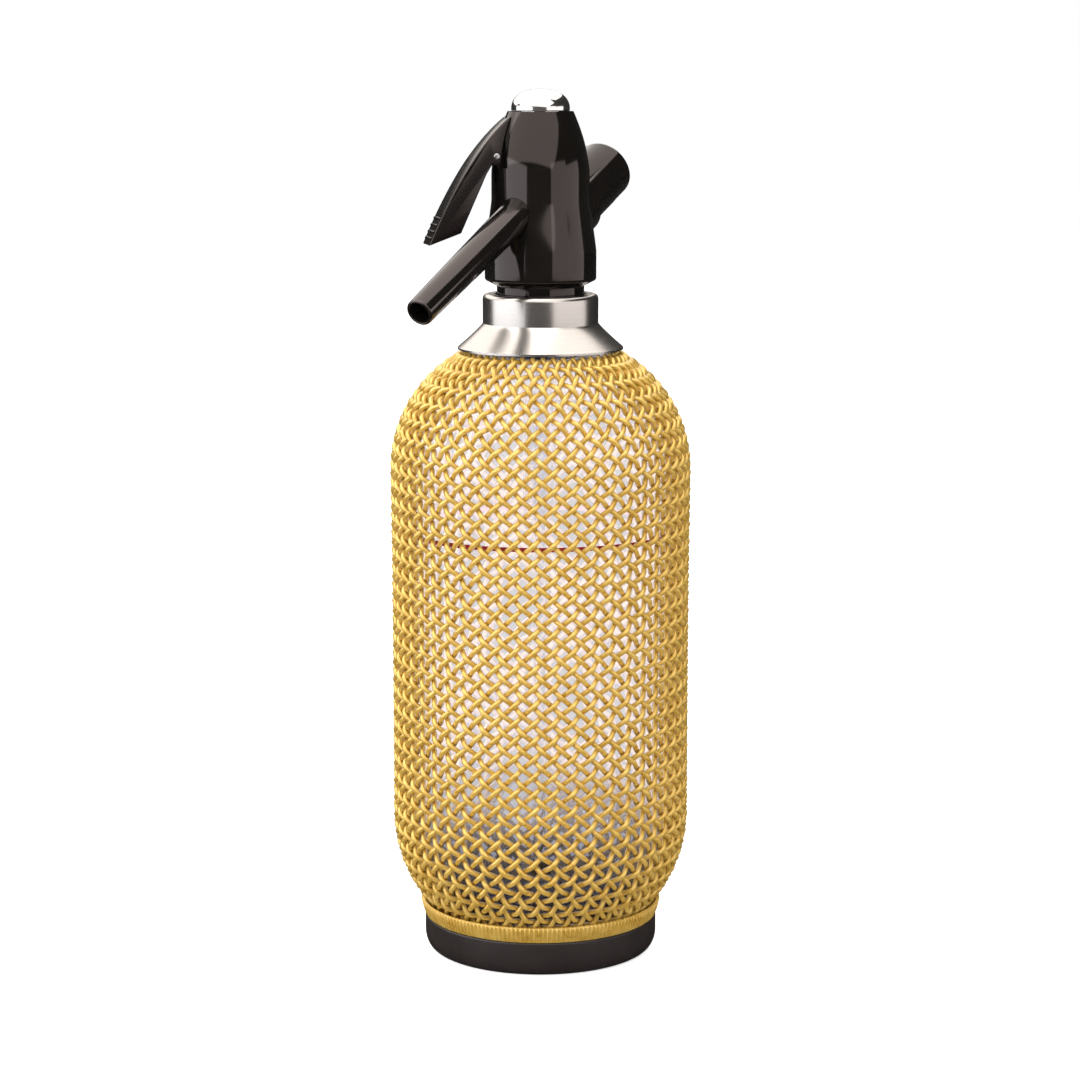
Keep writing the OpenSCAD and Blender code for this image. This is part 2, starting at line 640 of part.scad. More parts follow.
// Charger
module charger_holder() {
  end = bulb_base_s + 0.3 + holder_end_t;
  color([0.1, 0.1, 0.1])
    towards_charger()
      revolve(concat(
        [[cell_r, boss_s - holder_thread_l], [holder_spigot_r, boss_s - holder_thread_l],
          [holder_spigot_r, boss_s + seat_gap], [holder_r, boss_s + seat_gap]],
        along_arc([holder_r - holder_edge, end - holder_edge], holder_edge, 0, 90, 6),
        [[0, end], [0, bulb_base_s + 0.3], [cell_r - 1.5, bulb_base_s + 0.3], [cell_r, bulb_base_s - 1.2]]));
}
module charger_bulb() {
  color([0.72, 0.73, 0.75])
    towards_charger()
      revolve(concat(
        [[1.1, bulb_tip_s], [bulb_neck_r - 0.3, bulb_tip_s]],
        bulb_shoulder(0),
        [for (i = [0 : 6]) let (a = 90 * i / 6) [bulb_r * pow(cos(a), 0.5), bulb_base_s - 4.2 + 4.2 * pow(sin(a), 1.4)]],
        [[0, bulb_tip_s + 2.6], [1.1, bulb_tip_s + 2.6]]));
}
module piercing_pin() {
  disc_top = pin_base_s + 1.3;
  color([0.8, 0.78, 0.6])
    towards_charger()
      revolve([[0, pin_base_s], [pin_disc_r, pin_base_s], [pin_disc_r, disc_top], [0.75, disc_top],
        [0.75, bulb_tip_s + 0.6], [0, bulb_tip_s + 2]]);
}
module charger_gasket() {
  color([0.2, 0.2, 0.22])
    towards_charger()
      translate([0, 0, bulb_tip_s - 2])
        difference() {
          cylinder(h = 1.75, r = pin_disc_r);
          translate([0, 0, -1]) cylinder(h = 4, r = 0.8);
        }
}

// Tubes
adapter_spigot_r = measure_r - measure_wall - press_gap;
module tube_adapter() {
  color([0.9, 0.9, 0.88])
    difference() {
      union() {
        translate([0, 0, plug_z]) cylinder(h = adapter_h, r = adapter_r);
        translate([0, 0, plug_z - 9]) cylinder(h = 10, r = adapter_spigot_r);
      }
      translate([0, 0, plug_z - 10]) cylinder(h = 12.5, r = riser_r + press_gap);
      translate([0, 0, plug_z - 10]) cylinder(h = 20, r = riser_r - riser_wall);
    }
}
module measuring_tube() {
  color([0.85, 0.88, 0.9, 0.6])
    translate([0, 0, plug_z - measure_l])
      difference() {
        cylinder(h = measure_l - seat_gap, r = measure_r);
        translate([0, 0, -1]) cylinder(h = measure_l + 2, r = measure_r - measure_wall);
      }
}
module riser_tube() {
  low = glass_z + glass_wall + base_extra + 4;
  color([0.85, 0.88, 0.9, 0.6])
    translate([0, 0, low])
      difference() {
        cylinder(h = plug_z + 2.4 - low, r = riser_r);
        translate([0, 0, -1]) cylinder(h = plug_z, r = riser_r - riser_wall);
        translate([0, 0, -2]) rotate([35, 0, 0]) translate([-10, -10, -10]) cube([20, 20, 10]);
      }
}

glass_bottle();
mesh_wires_left();
mesh_wires_right();
mesh_foot_band();
foot_ring();
neck_collar();
collar_insert();
head_gasket();
head_housing();
top_cap();
top_cap_seal();
valve_spring();
valve_piston();
valve_disc();
piston_o_ring();
valve_seat();
dispensing_lever();
lever_pin();
spout();
spout_seal();
charger_holder();
charger_bulb();
piercing_pin();
charger_gasket();
riser_tube();
measuring_tube();
tube_adapter();
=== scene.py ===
# Soda siphon: the looks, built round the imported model. Lengths are in
# millimetres where a name says nothing else, and MM turns them into metres.
import math

import bpy
from mathutils import Matrix, Vector


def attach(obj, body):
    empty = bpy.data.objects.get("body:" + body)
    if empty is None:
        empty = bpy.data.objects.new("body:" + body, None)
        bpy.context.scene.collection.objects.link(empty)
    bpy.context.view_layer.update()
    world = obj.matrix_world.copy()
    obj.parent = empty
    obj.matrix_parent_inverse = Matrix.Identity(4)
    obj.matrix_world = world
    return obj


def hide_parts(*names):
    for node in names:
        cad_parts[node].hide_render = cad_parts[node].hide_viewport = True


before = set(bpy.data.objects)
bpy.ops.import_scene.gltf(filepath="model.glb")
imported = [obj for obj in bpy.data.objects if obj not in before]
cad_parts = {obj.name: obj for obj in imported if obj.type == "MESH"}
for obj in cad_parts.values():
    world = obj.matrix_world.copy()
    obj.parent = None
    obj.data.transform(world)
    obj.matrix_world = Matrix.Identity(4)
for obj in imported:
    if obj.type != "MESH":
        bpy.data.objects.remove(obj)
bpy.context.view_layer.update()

MM = 0.001
SEGMENTS = 144       # faces round a turned piece
FINE_SEGMENTS = 192  # round a large or shiny one
SMALL_SEGMENTS = 96  # round a slim one

# ---------------------------------------------------------------- sizes
SEAT_GAP = 0.2    # between pieces that rest on each other
RUN_GAP = 0.1     # round a screwed or running fit
PRESS_GAP = 0.02  # round a piece pressed into a hole
FREE_GAP = 0.35   # between pieces that pass each other

# Glass. BASE_C, SHOULDER_C and FILLET_C are the centres (r, z) of its arcs.
GLASS_R = 51.3
GLASS_WALL = 3.8
BASE_EXTRA = 3.0    # how much thicker the floor is than the wall
BASE_FLAT_R = 4.0   # radius of the flat middle under the base
BASE_RISE = 0.05    # rise of that middle
FLOOR_TURN = -66    # degrees, where the inner wall turns into the floor
FLOOR_STEPS = (0.2, 0.45, 0.7, 0.88)
SIDE_H = 130.1
BASE_ARC = 48.0
SHOULDER_ARC = 45.5
GLASS_Z = 4.0
NECK_BORE_R = 12.0
NECK_R = 15.4
NECK_FILLET = 2.0
NECK_PLAIN_H = 2.4
BEAD_R = 17.6
BEAD_H = 4.0
BEAD_CORNER = (0.5, 0.4)  # chamfer (r, z) in the corner under the bead
BEAD_EDGE = (0.6, 0.8)    # chamfer on the lower edge of the bead
LIP_ROUND = 1.0
BASE_C = (GLASS_R - BASE_ARC, GLASS_Z + BASE_ARC)
SHOULDER_C = (GLASS_R - SHOULDER_ARC, BASE_C[1] + SIDE_H)
FILLET_C = (NECK_R + NECK_FILLET, SHOULDER_C[1] + math.sqrt(
    (SHOULDER_ARC + NECK_FILLET) ** 2 - (NECK_R + NECK_FILLET - SHOULDER_C[0]) ** 2))
BEAD_Z = FILLET_C[1] + NECK_PLAIN_H
LIP_Z = BEAD_Z + BEAD_H

FILL_LINE_Z = 159.5
FILL_LINE_H = 1.6
PAINT_IN = 0.01    # from the glass to the inner face of the paint
PAINT_OUT = 0.06   # from the glass to its outer face
PAINT_EDGE = 0.05  # height of its worn edges

# Woven sleeve
WIRES = 48            # of each hand
WIRE_D = 2.0
WIRE_STEP = 4.76      # length of wire from one crossing to the next
WEAVE_GAP = 0.06      # between the glass and the inner wires
WIRE_LOW_GAP = 0.9    # from the foot up to the lower ends
WIRE_TOP_IN = 3.2     # from the edge of the skirt in to the upper ends
SLACK = 0.5           # how far the sleeve stands off the shoulder
SLACK_AT = 6          # length past the top of the side at which it does so most
SLACK_SPREAD = 36     # length over which the slack fades
CROSSING_POINTS = 5   # points of a wire for each crossing
PATH_STEP = 0.05      # length between two tries for a point

# Foot and band
FOOT_R = 43.5
FOOT_H = 12.8
FOOT_EDGE = 6.5       # height of the rounded lower edge
FOOT_EDGE_IN = 4.2    # width of it
FOOT_PAD_R = 14.0
FOOT_RECESS = 1.0     # depth of the hollow between the pad and the ring
FOOT_RING_IN = 4.0    # from the rounded edge in to the hollow
FOOT_RIM = 0.6        # rounding of the upper edge
FOOT_CUP_Z = 4.4      # lowest point of the cup's curved wall
FOOT_FLOOR_Z = 3.8
BAND_H = 6.0
BAND_FLARE = 1.8      # how much wider the band is at its upper edge
BAND_CLEAR = 3.75     # from the arc of the base out to the band's inner face
BAND_LOW_GAP = 0.05
BAND_SIDE_IN = 0.5    # from the side of the foot in to the band's side, behind the ribs
BAND_LIP = 1.1        # width of the upper lip
BAND_GROOVE = 2.6     # depth of the groove behind the lip
BAND_GROOVE_IN = 0.8
BAND_RIBS = 168
RIB_R = 0.45
# Centre line of a rib: share of the flare, distance in, and height over the foot
RIB_LINE = ((0.0, 0.1, RIB_R), (0.5, 0.0, BAND_H / 2),
            (1.0, 0.2, BAND_H - RIB_R), (1.0, 0.9, BAND_H - 0.15))

# Collar
PLUG_R = 16.4
COLLAR_R = 21.3
COLLAR_T = 0.8
COLLAR_H = 11.3
COLLAR_EDGE = 1.8
COLLAR_HOLE_R = PLUG_R + 0.6
SKIRT_H = 9.0
SKIRT_R = 30.5
SKIRT_LIP = 0.7       # height of the upright edge below
SKIRT_RISE = SKIRT_H - 0.2
SKIRT_POWER = 1.12    # how the skirt hollows, 1 for a straight cone
SKIRT_STEPS = 16
PLUG_Z = LIP_Z + 1.8
COLLAR_TOP = PLUG_Z + 9.4 + COLLAR_T
BEND_Z = COLLAR_TOP - COLLAR_H

# Head
NECK_THREAD_R = PLUG_R - 0.35
HEAD_BASE_R = 20.5
WAIST_R = 18.0
CROWN_R = 12.05
HEAD_Z = COLLAR_TOP + 3.0
HEAD_NECK_H = 2.6
HEAD_CHAMFER_H = 2.2
CURVE_Z = HEAD_Z + 14.5
CURVE_H = 15.0
CONE_Z = CURVE_Z - 2.5
CONE_H = CURVE_H + 5.0
CONE_EASE = 0.2       # share of a soft curve in the cone
CONE_END = 0.04       # share of its length at either end that stays upright
CROWN_Z = CURVE_Z + CURVE_H + 11.0
CROWN_H = 23.0
CROWN_POWER = 1.7
HEAD_TOP = CROWN_Z + CROWN_H
ADAPTER_BORE = (8.02, 5)   # radius and depth
CAP_R = 10.7
CAP_H = 8.0
CAP_EDGE_H = 1.2      # height of the upright edge
CAP_ROUND = 0.8       # how full the dome is, 1 for an ellipse
CAP_HOLLOW = 0.6
CAP_SEAL_H = 1.0
CAP_SPIGOT_R = 8.5
SPRING_SPACE_R = 6.5
LEDGE_Z = HEAD_TOP - 7.0
SLOPE = math.radians(27)   # of the spout, and of the charger holder behind it

# Spout. A length that ends in _S runs along its own axis, from the head's.
SPOUT_Z = CROWN_Z - 5.8
SPOUT_REACH = 86.8
SPOUT_BORE_R = 3.2
SPOUT_SPIGOT_R = 5.0
SPOUT_SOCKET_S = 10
SPOUT_SHOULDER_S = 16
SPOUT_ROOT_R = 6.4
SPOUT_TIP_R = 5.0
SPOUT_TIP_WALL = 1.0
SPOUT_MOUTH = 6       # depth of the flared mouth

# Charger holder, along its own axis too
CHARGER_Z = CURVE_Z + 4.0
BOSS_R = 12.6
BOSS_S = 24.0
CELL_R = 9.6          # room for the bulb
CELL_S = -3.3
BULB_NECK_ROOM = (5.4, -19.6)   # radius and far end
THREAD_ROOM = (10.9, 12.5)
HOLDER_R = 11.0
HOLDER_SPIGOT_R = 10.45
HOLDER_RIM_S = 13
HOLDER_FLOOR_S = 49
HOLDER_FLOOR_EDGE = 1.5
HOLDER_END = 51.2
THREAD_RIDGE_R = 0.36

# Lever. Its points are (x, z) in its own plane, with x away from the axis.
PIN_X = 17.6
PIN_Z = LEDGE_Z - 9.1
PIN_R = 1.15
LEVER_W = 14.4
LEVER_TOP_W = 10.0
LEVER_WALL = 1.9
LEVER_BOSS_R = 2.8    # round the pin
FLANGE_IN = 4.95      # from the middle plane to the inner face of a flange
FLANGE_ROOM_OUT = 12
EAR_GAP = 2.6
EAR_R = 3.2
EAR_T = 2.0
LEVER_CURVE = [(12, PIN_Z + 14.6), (26, PIN_Z + 3.6), (36.4, PIN_Z - 17.4), (42.6, PIN_Z - 32)]
LEVER_HEEL = (30.8, PIN_Z - 27.6)
LEVER_FORK = (21.4, PIN_Z - 6.4)
LEVER_TAPER_Z = PIN_Z - 2
LEVER_TAPER_H = 16.6
LEVER_HOLLOW_END = 0.955   # share of the blade that the hollow follows
LEVER_FINGER = [(3.2, PIN_Z + 0.5), (6.2, PIN_Z + 0.5), (PIN_X - 2, PIN_Z + 2.6),
                (PIN_X + 4.5, PIN_Z + 2.6), (PIN_X + 7, PIN_Z), (PIN_X + 7, PIN_Z - 2.6),
                (PIN_X - 1, PIN_Z - 2.6), (5.2, PIN_Z - 2.5), (3.2, PIN_Z - 1.5)]
LEVER_FINGER_W = 4.6
SLOT_LOW_Z = PIN_Z - 3
SLOT_HIGH_Z = PIN_Z + 5.9
GRIP_RIDGES = 4
RIDGE_R = 0.75
THROUGH = 40          # far enough to cut through from any side

# --------------------------------------------------------------- camera
# Distances here and at the stage are in metres.
CAM_TURN = math.radians(33)
CAM_DISTANCE = 1.087
CAM_HEIGHT = 0.3348
CAM_PITCH = math.radians(8.155)
CAM_LENS = 98.71
CAM_SHIFT = (-0.0005, -0.06)


def from_camera_side(turn, reach, height):
    """Point at a turn to the right of the camera's own direction, seen from above."""
    a = CAM_TURN + turn
    return Vector((math.sin(a) * reach, -math.cos(a) * reach, height))


camera_data = bpy.data.cameras.new("camera")
camera_data.lens = CAM_LENS
camera_data.shift_x, camera_data.shift_y = CAM_SHIFT
camera = bpy.data.objects.new("camera", camera_data)
camera.location = from_camera_side(0, CAM_DISTANCE, CAM_HEIGHT)
camera.rotation_euler = (math.pi / 2 - CAM_PITCH, 0, CAM_TURN)
bpy.context.scene.collection.objects.link(camera)
bpy.context.scene.camera = camera
bpy.context.scene.view_settings.view_transform = "Standard"


# --------------------------------------------------------- shader tools
class Shader:
    """One procedural material, with short calls for its nodes."""

    def __init__(self, name):
        self.material = bpy.data.materials.new(name)
        self.material.use_nodes = True
        self.tree = self.material.node_tree
        self.principled = self.tree.nodes["Principled BSDF"]
        self.place = self.add("ShaderNodeTexCoord").outputs["Object"]

    def add(self, kind, **fields):
        node = self.tree.nodes.new(kind)
        for name, value in fields.items():
            setattr(node, name, value)
        return node

    def join(self, out, into):
        self.tree.links.new(out, into)

    def group(self, group, **values):
        """A node group, with the values of its inputs."""
        node = self.add("ShaderNodeGroup", node_tree=group)
        for name, value in values.items():
            node.inputs[name.replace("_", " ")].default_value = value
        return node

    def set(self, **values):
        """Values on the shader's own sockets."""
        for name, value in values.items():
            self.principled.inputs[name.replace("_", " ")].default_value = value

    def ramp(self, source, low, high, low_colour, high_colour):
        """From one colour to another while the source goes from low to high."""
        node = self.add("ShaderNodeMapRange")
        node.inputs["From Min"].default_value = low
        node.inputs["From Max"].default_value = high
        mix = self.add("ShaderNodeMix", data_type="RGBA")
        mix.inputs["A"].default_value = (*low_colour, 1)
        mix.inputs["B"].default_value = (*high_colour, 1)
        self.join(source, node.inputs["Value"])
        self.join(node.outputs["Result"], mix.inputs["Factor"])
        return mix.outputs["Result"]

    def height(self):
        """Height above the table, in metres."""
        split = self.add("ShaderNodeSeparateXYZ")
        self.join(self.place, split.inputs[0])
        return split.outputs["Z"]

    def clear_to_lamps(self, tint):
        """Lets the light of the lamps through, as clear glass does."""
        clear = self.add("ShaderNodeBsdfTransparent")
        clear.inputs["Color"].default_value = (*tint, 1)
        mix = self.add("ShaderNodeMixShader")
        self.join(self.add("ShaderNodeLightPath").outputs["Is Shadow Ray"], mix.inputs["Fac"])
        self.join(self.principled.outputs[0], mix.inputs[1])
        self.join(clear.outputs[0], mix.inputs[2])
        self.join(mix.outputs[0], self.tree.nodes["Material Output"].inputs["Surface"])

    def painted_glow_behind_glass(self, low, high):
        """Painted glow for rays that came through glass, standing in for the light inside the
        bottle, from none below one height to nearly full above another. Emission Color gives its
        tone."""
        above_base = self.add("ShaderNodeMapRange")
        above_base.inputs["From Min"].default_value = low
        above_base.inputs["From Max"].default_value = high
        above_base.inputs["To Max"].default_value = 0.95
        self.join(self.height(), above_base.inputs["Value"])
        painted_glow = self.add("ShaderNodeMath", operation="MULTIPLY")
        self.join(self.add("ShaderNodeLightPath").outputs["Is Transmission Ray"], painted_glow.inputs[0])
        self.join(above_base.outputs["Result"], painted_glow.inputs[1])
        self.join(painted_glow.outputs[0], self.principled.inputs["Emission Strength"])

    def bump(self, height, strength, distance):
        node = self.add("ShaderNodeBump")
        node.inputs["Strength"].default_value = strength
        node.inputs["Distance"].default_value = distance
        self.join(height, node.inputs["Height"])
        self.join(node.outputs["Normal"], self.principled.inputs["Normal"])


def surface_life_group():
    """Handled surface: faint smears in the gloss, and a fine unevenness.
    Takes base roughness, how far it varies and the size of the smears."""
    group = bpy.data.node_groups.new("surface_life", "ShaderNodeTree")
    for name, highest in (("Roughness", 1), ("Variation", 1), ("Smear Scale", 2000),
                          ("Grain Scale", 9000)):
        socket = group.interface.new_socket(name, in_out="INPUT", socket_type="NodeSocketFloat")
        socket.min_value, socket.max_value = 0, highest
    for name in ("Roughness", "Grain", "Smear"):
        group.interface.new_socket(name, in_out="OUTPUT", socket_type="NodeSocketFloat")
    nodes, links = group.nodes, group.links
    given = nodes.new("NodeGroupInput")
    out = nodes.new("NodeGroupOutput")
    place = nodes.new("ShaderNodeTexCoord")
    smear = nodes.new("ShaderNodeTexNoise")
    smear.inputs["Detail"].default_value = 3
    smear.inputs["Distortion"].default_value = 0.6
    grain = nodes.new("ShaderNodeTexNoise")
    grain.inputs["Detail"].default_value = 2
    centred = nodes.new("ShaderNodeMath")
    centred.operation = "SUBTRACT"
    centred.inputs[1].default_value = 0.5
    scaled = nodes.new("ShaderNodeMath")
    scaled.operation = "MULTIPLY_ADD"
    for noise, scale in ((smear, "Smear Scale"), (grain, "Grain Scale")):
        links.new(place.outputs["Object"], noise.inputs["Vector"])
        links.new(given.outputs[scale], noise.inputs["Scale"])
    links.new(smear.outputs["Fac"], centred.inputs[0])
    links.new(centred.outputs[0], scaled.inputs[0])
    links.new(given.outputs["Variation"], scaled.inputs[1])
    links.new(given.outputs["Roughness"], scaled.inputs[2])
    links.new(scaled.outputs[0], out.inputs["Roughness"])
    links.new(grain.outputs["Fac"], out.inputs["Grain"])
    links.new(smear.outputs["Fac"], out.inputs["Smear"])
    return group


SURFACE_LIFE = surface_life_group()


def finish_of(name, colour, dark, roughness, variation, smear_scale, grain_scale, bump, **values):
    """A solid finish: two close colours, live gloss and a fine grain."""
    s = Shader(name)
    life = s.group(SURFACE_LIFE, Roughness=roughness, Variation=variation,
                   Smear_Scale=smear_scale, Grain_Scale=grain_scale)
    s.join(life.outputs["Roughness"], s.principled.inputs["Roughness"])
    s.join(s.ramp(life.outputs["Smear"], 0.3, 0.7, dark, colour),
           s.principled.inputs["Base Color"])
    s.bump(life.outputs["Grain"], bump, 0.0001)
    s.set(**values)
    return s


# Heights, in metres, between which painted shade darkens the glass towards its thicker
# base, and between which a painted pale glow sets in on what lies behind it.
PAINTED_BASE_SHADE = (0.021, 0.062)
PAINTED_GLOW_HEIGHTS = (0.026, 0.060)


def glass_material():
    """Clear glass with painted shade towards its thicker base, standing in for the
    light that the glass bends away there."""
    s = Shader("bottle_glass")
    life = s.group(SURFACE_LIFE, Roughness=0.0, Variation=0.02, Smear_Scale=30, Grain_Scale=60)
    s.join(life.outputs["Roughness"], s.principled.inputs["Roughness"])
    clear = s.ramp(life.outputs["Smear"], 0.3, 0.7, (0.985, 0.98, 1.0), (0.995, 0.99, 1.0))
    # Painted shade: a darker, bluer base colour low down, for the light that the glass bends away
    painted_base_shade = s.ramp(s.height(), *PAINTED_BASE_SHADE, (0.38, 0.41, 0.50), (1.0, 1.0, 1.0))
    tint = s.add("ShaderNodeMix", data_type="RGBA", blend_type="MULTIPLY")
    tint.inputs["Factor"].default_value = 1.0
    s.join(clear, tint.inputs["A"])
    s.join(painted_base_shade, tint.inputs["B"])
    s.join(tint.outputs["Result"], s.principled.inputs["Base Color"])
    s.bump(life.outputs["Grain"], 0.06, 0.0005)
    s.set(Transmission_Weight=1.0, IOR=1.5)
    s.clear_to_lamps((0.98, 0.98, 0.99))
    return s.material


def brushed_steel():
    """Steel turned on a lathe: the grain runs round the axis."""
    s = Shader("brushed_steel")
    life = s.group(SURFACE_LIFE, Roughness=0.25, Variation=0.08, Smear_Scale=40, Grain_Scale=900)
    lines = s.add("ShaderNodeTexNoise", noise_dimensions="1D")
    lines.inputs["Scale"].default_value = 5200
    lines.inputs["Detail"].default_value = 2
    s.join(s.height(), lines.inputs["W"])
    s.join(life.outputs["Roughness"], s.principled.inputs["Roughness"])
    s.join(s.ramp(lines.outputs["Fac"], 0.3, 0.7, (0.60, 0.57, 0.54), (0.71, 0.68, 0.65)),
           s.principled.inputs["Base Color"])
    s.bump(lines.outputs["Fac"], 0.12, 0.00005)
    s.set(Metallic=1.0)
    return s.material


def gold_wire():
    """Lacquered gold-coloured wire. Behind the glass it has a painted pale glow for
    the rays that came through, standing in for the light inside the bottle."""
    s = Shader("gold_wire")
    life = s.group(SURFACE_LIFE, Roughness=0.3, Variation=0.2, Smear_Scale=220, Grain_Scale=2500)
    s.join(life.outputs["Roughness"], s.principled.inputs["Roughness"])
    s.join(s.ramp(life.outputs["Smear"], 0.25, 0.75, (0.63, 0.375, 0.045), (0.86, 0.60, 0.15)),
           s.principled.inputs["Base Color"])
    s.bump(life.outputs["Grain"], 0.15, 0.0001)
    # Painted pale glow behind the glass, its tone set by Emission Color below
    s.painted_glow_behind_glass(*PAINTED_GLOW_HEIGHTS)
    s.set(Metallic=0.45, Emission_Color=(0.82, 0.79, 0.86, 1), Coat_Weight=0.9,
          Coat_Roughness=0.14)
    return s.material


def red_paint():
    """Paint of the fill line, with the same painted pale glow behind the glass as the wires."""
    s = finish_of("red_paint", (0.62, 0.03, 0.03), (0.45, 0.02, 0.03), roughness=0.4,
                  variation=0.1, smear_scale=300, grain_scale=3000, bump=0.1,
                  Emission_Color=(0.92, 0.86, 0.88, 1))
    # Painted pale glow behind the glass, as on the wires
    s.painted_glow_behind_glass(*PAINTED_GLOW_HEIGHTS)
    return s.material


def black_plastic(name, roughness, gloss):
    """Black moulded plastic with a warm reflection. The gloss is its IOR."""
    return finish_of(name, (0.0062, 0.0055, 0.0047), (0.0044, 0.0039, 0.0034),
                     roughness=roughness, variation=0.06, smear_scale=45, grain_scale=2600,
                     bump=0.004, IOR=gloss, Specular_Tint=(1.0, 0.86, 0.84, 1)).material


BLACK_HEAD = black_plastic("head_plastic", 0.09, 1.56)
BLACK_SPOUT = black_plastic("spout_plastic", 0.11, 1.82)
BLACK_LEVER = black_plastic("lever_plastic", 0.2, 1.66)
FOOT_PLASTIC = finish_of(
    "foot_plastic", (0.0250, 0.0200, 0.0190), (0.0185, 0.0150, 0.0142), roughness=0.30,
    variation=0.14, smear_scale=60, grain_scale=2600, bump=0.06, IOR=1.5).material
CHROME = finish_of(
    "chrome", (0.93, 0.92, 0.91), (0.88, 0.87, 0.86), roughness=0.13,
    variation=0.05, smear_scale=70, grain_scale=1500, bump=0.02, Metallic=1.0).material
GOLD = gold_wire()
GLASS = glass_material()
STEEL = brushed_steel()
RED_PAINT = red_paint()
PALE_PLASTIC = finish_of(
    "inner_plastic", (0.72, 0.71, 0.67), (0.66, 0.65, 0.61), roughness=0.42,
    variation=0.15, smear_scale=90, grain_scale=2400, bump=0.1).material
SEAL_RUBBER = finish_of(
    "seal_rubber", (0.03, 0.03, 0.03), (0.02, 0.02, 0.02), roughness=0.62,
    variation=0.15, smear_scale=150, grain_scale=3500, bump=0.3).material
GASKET_RUBBER = finish_of(
    "gasket_rubber", (0.62, 0.60, 0.54), (0.54, 0.52, 0.46), roughness=0.6,
    variation=0.15, smear_scale=150, grain_scale=3500, bump=0.3).material
VALVE_RUBBER = finish_of(
    "valve_rubber", (0.42, 0.05, 0.035), (0.33, 0.035, 0.03), roughness=0.55,
    variation=0.15, smear_scale=200, grain_scale=3500, bump=0.3).material
BRASS = finish_of(
    "turned_brass", (0.78, 0.60, 0.30), (0.66, 0.48, 0.22), roughness=0.25,
    variation=0.12, smear_scale=160, grain_scale=4000, bump=0.1, Metallic=1.0).material
SPRING_STEEL = finish_of(
    "spring_steel", (0.66, 0.66, 0.68), (0.56, 0.56, 0.58), roughness=0.24,
    variation=0.12, smear_scale=200, grain_scale=4000, bump=0.1, Metallic=1.0).material
BULB_STEEL = finish_of(
    "bulb_steel", (0.62, 0.63, 0.66), (0.54, 0.55, 0.58), roughness=0.32,
    variation=0.14, smear_scale=80, grain_scale=3000, bump=0.12, Metallic=1.0).material
TUBE_PLASTIC = finish_of(
    "tube_plastic", (1.0, 1.0, 1.0), (0.98, 0.98, 0.99), roughness=0.03, variation=0.03,
    smear_scale=60, grain_scale=1200, bump=0.02, Transmission_Weight=1.0, IOR=1.03).material


# ----------------------------------------------------------- mesh tools
def link(name, mesh):
    obj = bpy.data.objects.new(name, mesh)
    bpy.context.scene.collection.objects.link(obj)
    return obj


def smooth(mesh, limit=34):
    """Smooth shading, broken only at real edges."""
    mesh.shade_smooth()
    mesh.set_sharp_from_angle(angle=math.radians(limit))


def arc(centre, radius, start, end, steps):
    """Points along an arc, from one angle to another in degrees."""
    turns = [math.radians(start + (end - start) * i / steps) for i in range(steps + 1)]
    return [(centre[0] + radius * math.cos(a), centre[1] + radius * math.sin(a)) for a in turns]


def rounded(corners, closed, steps=6):
    """Outline through corners (r, z, radius), each turned by an arc of its radius."""
    out = []
    count = len(corners)
    for i, (x, y, radius) in enumerate(corners):
        p = Vector((x, y))
        if not radius or (not closed and i in (0, count - 1)):
            out.append((x, y))
            continue
        before = (Vector(corners[i - 1][:2]) - p).normalized()
        after = (Vector(corners[(i + 1) % count][:2]) - p).normalized()
        half = before.angle(after) / 2
        middle = p + (before + after).normalized() * (radius / math.sin(half))
        first = p + before * (radius / math.tan(half)) - middle
        last = p + after * (radius / math.tan(half)) - middle
        sweep = first.angle_signed(last)
        for k in range(steps + 1):
            turn = -sweep * k / steps
            out.append((middle.x + first.x * math.cos(turn) - first.y * math.sin(turn),
                        middle.y + first.x * math.sin(turn) + first.y * math.cos(turn)))
    return out


def signed_area(outline):
    """Twice the area inside an outline, above zero where it turns to the left."""
    return sum(a[0] * b[1] - b[0] * a[1] for a, b in zip(outline, outline[1:] + outline[:1]))


def revolve(name, outline, segments=SEGMENTS):
    """Mesh turned about Z from an outline of (r, z). An outline that starts and
    ends on the axis is closed by poles, and any other is a closed ring."""
    ring = outline[0][0] > 0
    points, rows = [], []
    for r, z in outline:
        if r <= 0:
            rows.append([len(points)] * segments)
            points.append((0, 0, z * MM))
            continue
        rows.append(list(range(len(points), len(points) + segments)))
        points += [(r * MM * math.cos(math.tau * k / segments),
                    r * MM * math.sin(math.tau * k / segments), z * MM) for k in range(segments)]
    faces = []
    for i in range(len(rows) if ring else len(rows) - 1):
        low, high = rows[i], rows[(i + 1) % len(rows)]
        for k in range(segments):
            n = (k + 1) % segments
            face = dict.fromkeys((low[k], low[n], high[n], high[k]))
            if len(face) > 2:
                faces.append(tuple(face))
    mesh = bpy.data.meshes.new(name)
    mesh.from_pydata(points, [], faces)
    if signed_area(outline) < 0:
        mesh.flip_normals()
    smooth(mesh)
    return mesh


def plate(points, width):
    """Solid from an outline in the lever's plane, spread evenly about it."""
    count = len(points)
    ordered = points if signed_area(points) > 0 else points[::-1]
    verts = [(x * MM, side * width / 2 * MM, z * MM) for side in (-1, 1) for x, z in ordered]
    faces = [tuple(range(count)), tuple(range(2 * count - 1, count - 1, -1))]
    faces += [(i, i + count, (i + 1) % count + count, (i + 1) % count) for i in range(count)]
    mesh = bpy.data.meshes.new("plate")
    mesh.from_pydata(verts, [], faces)
    return mesh


def rod(radius, start, end, segments=32):
    """Plain round cutter from one height to another on Z."""
    return revolve("rod", [(0, start), (radius, start), (radius, end), (0, end)], segments)


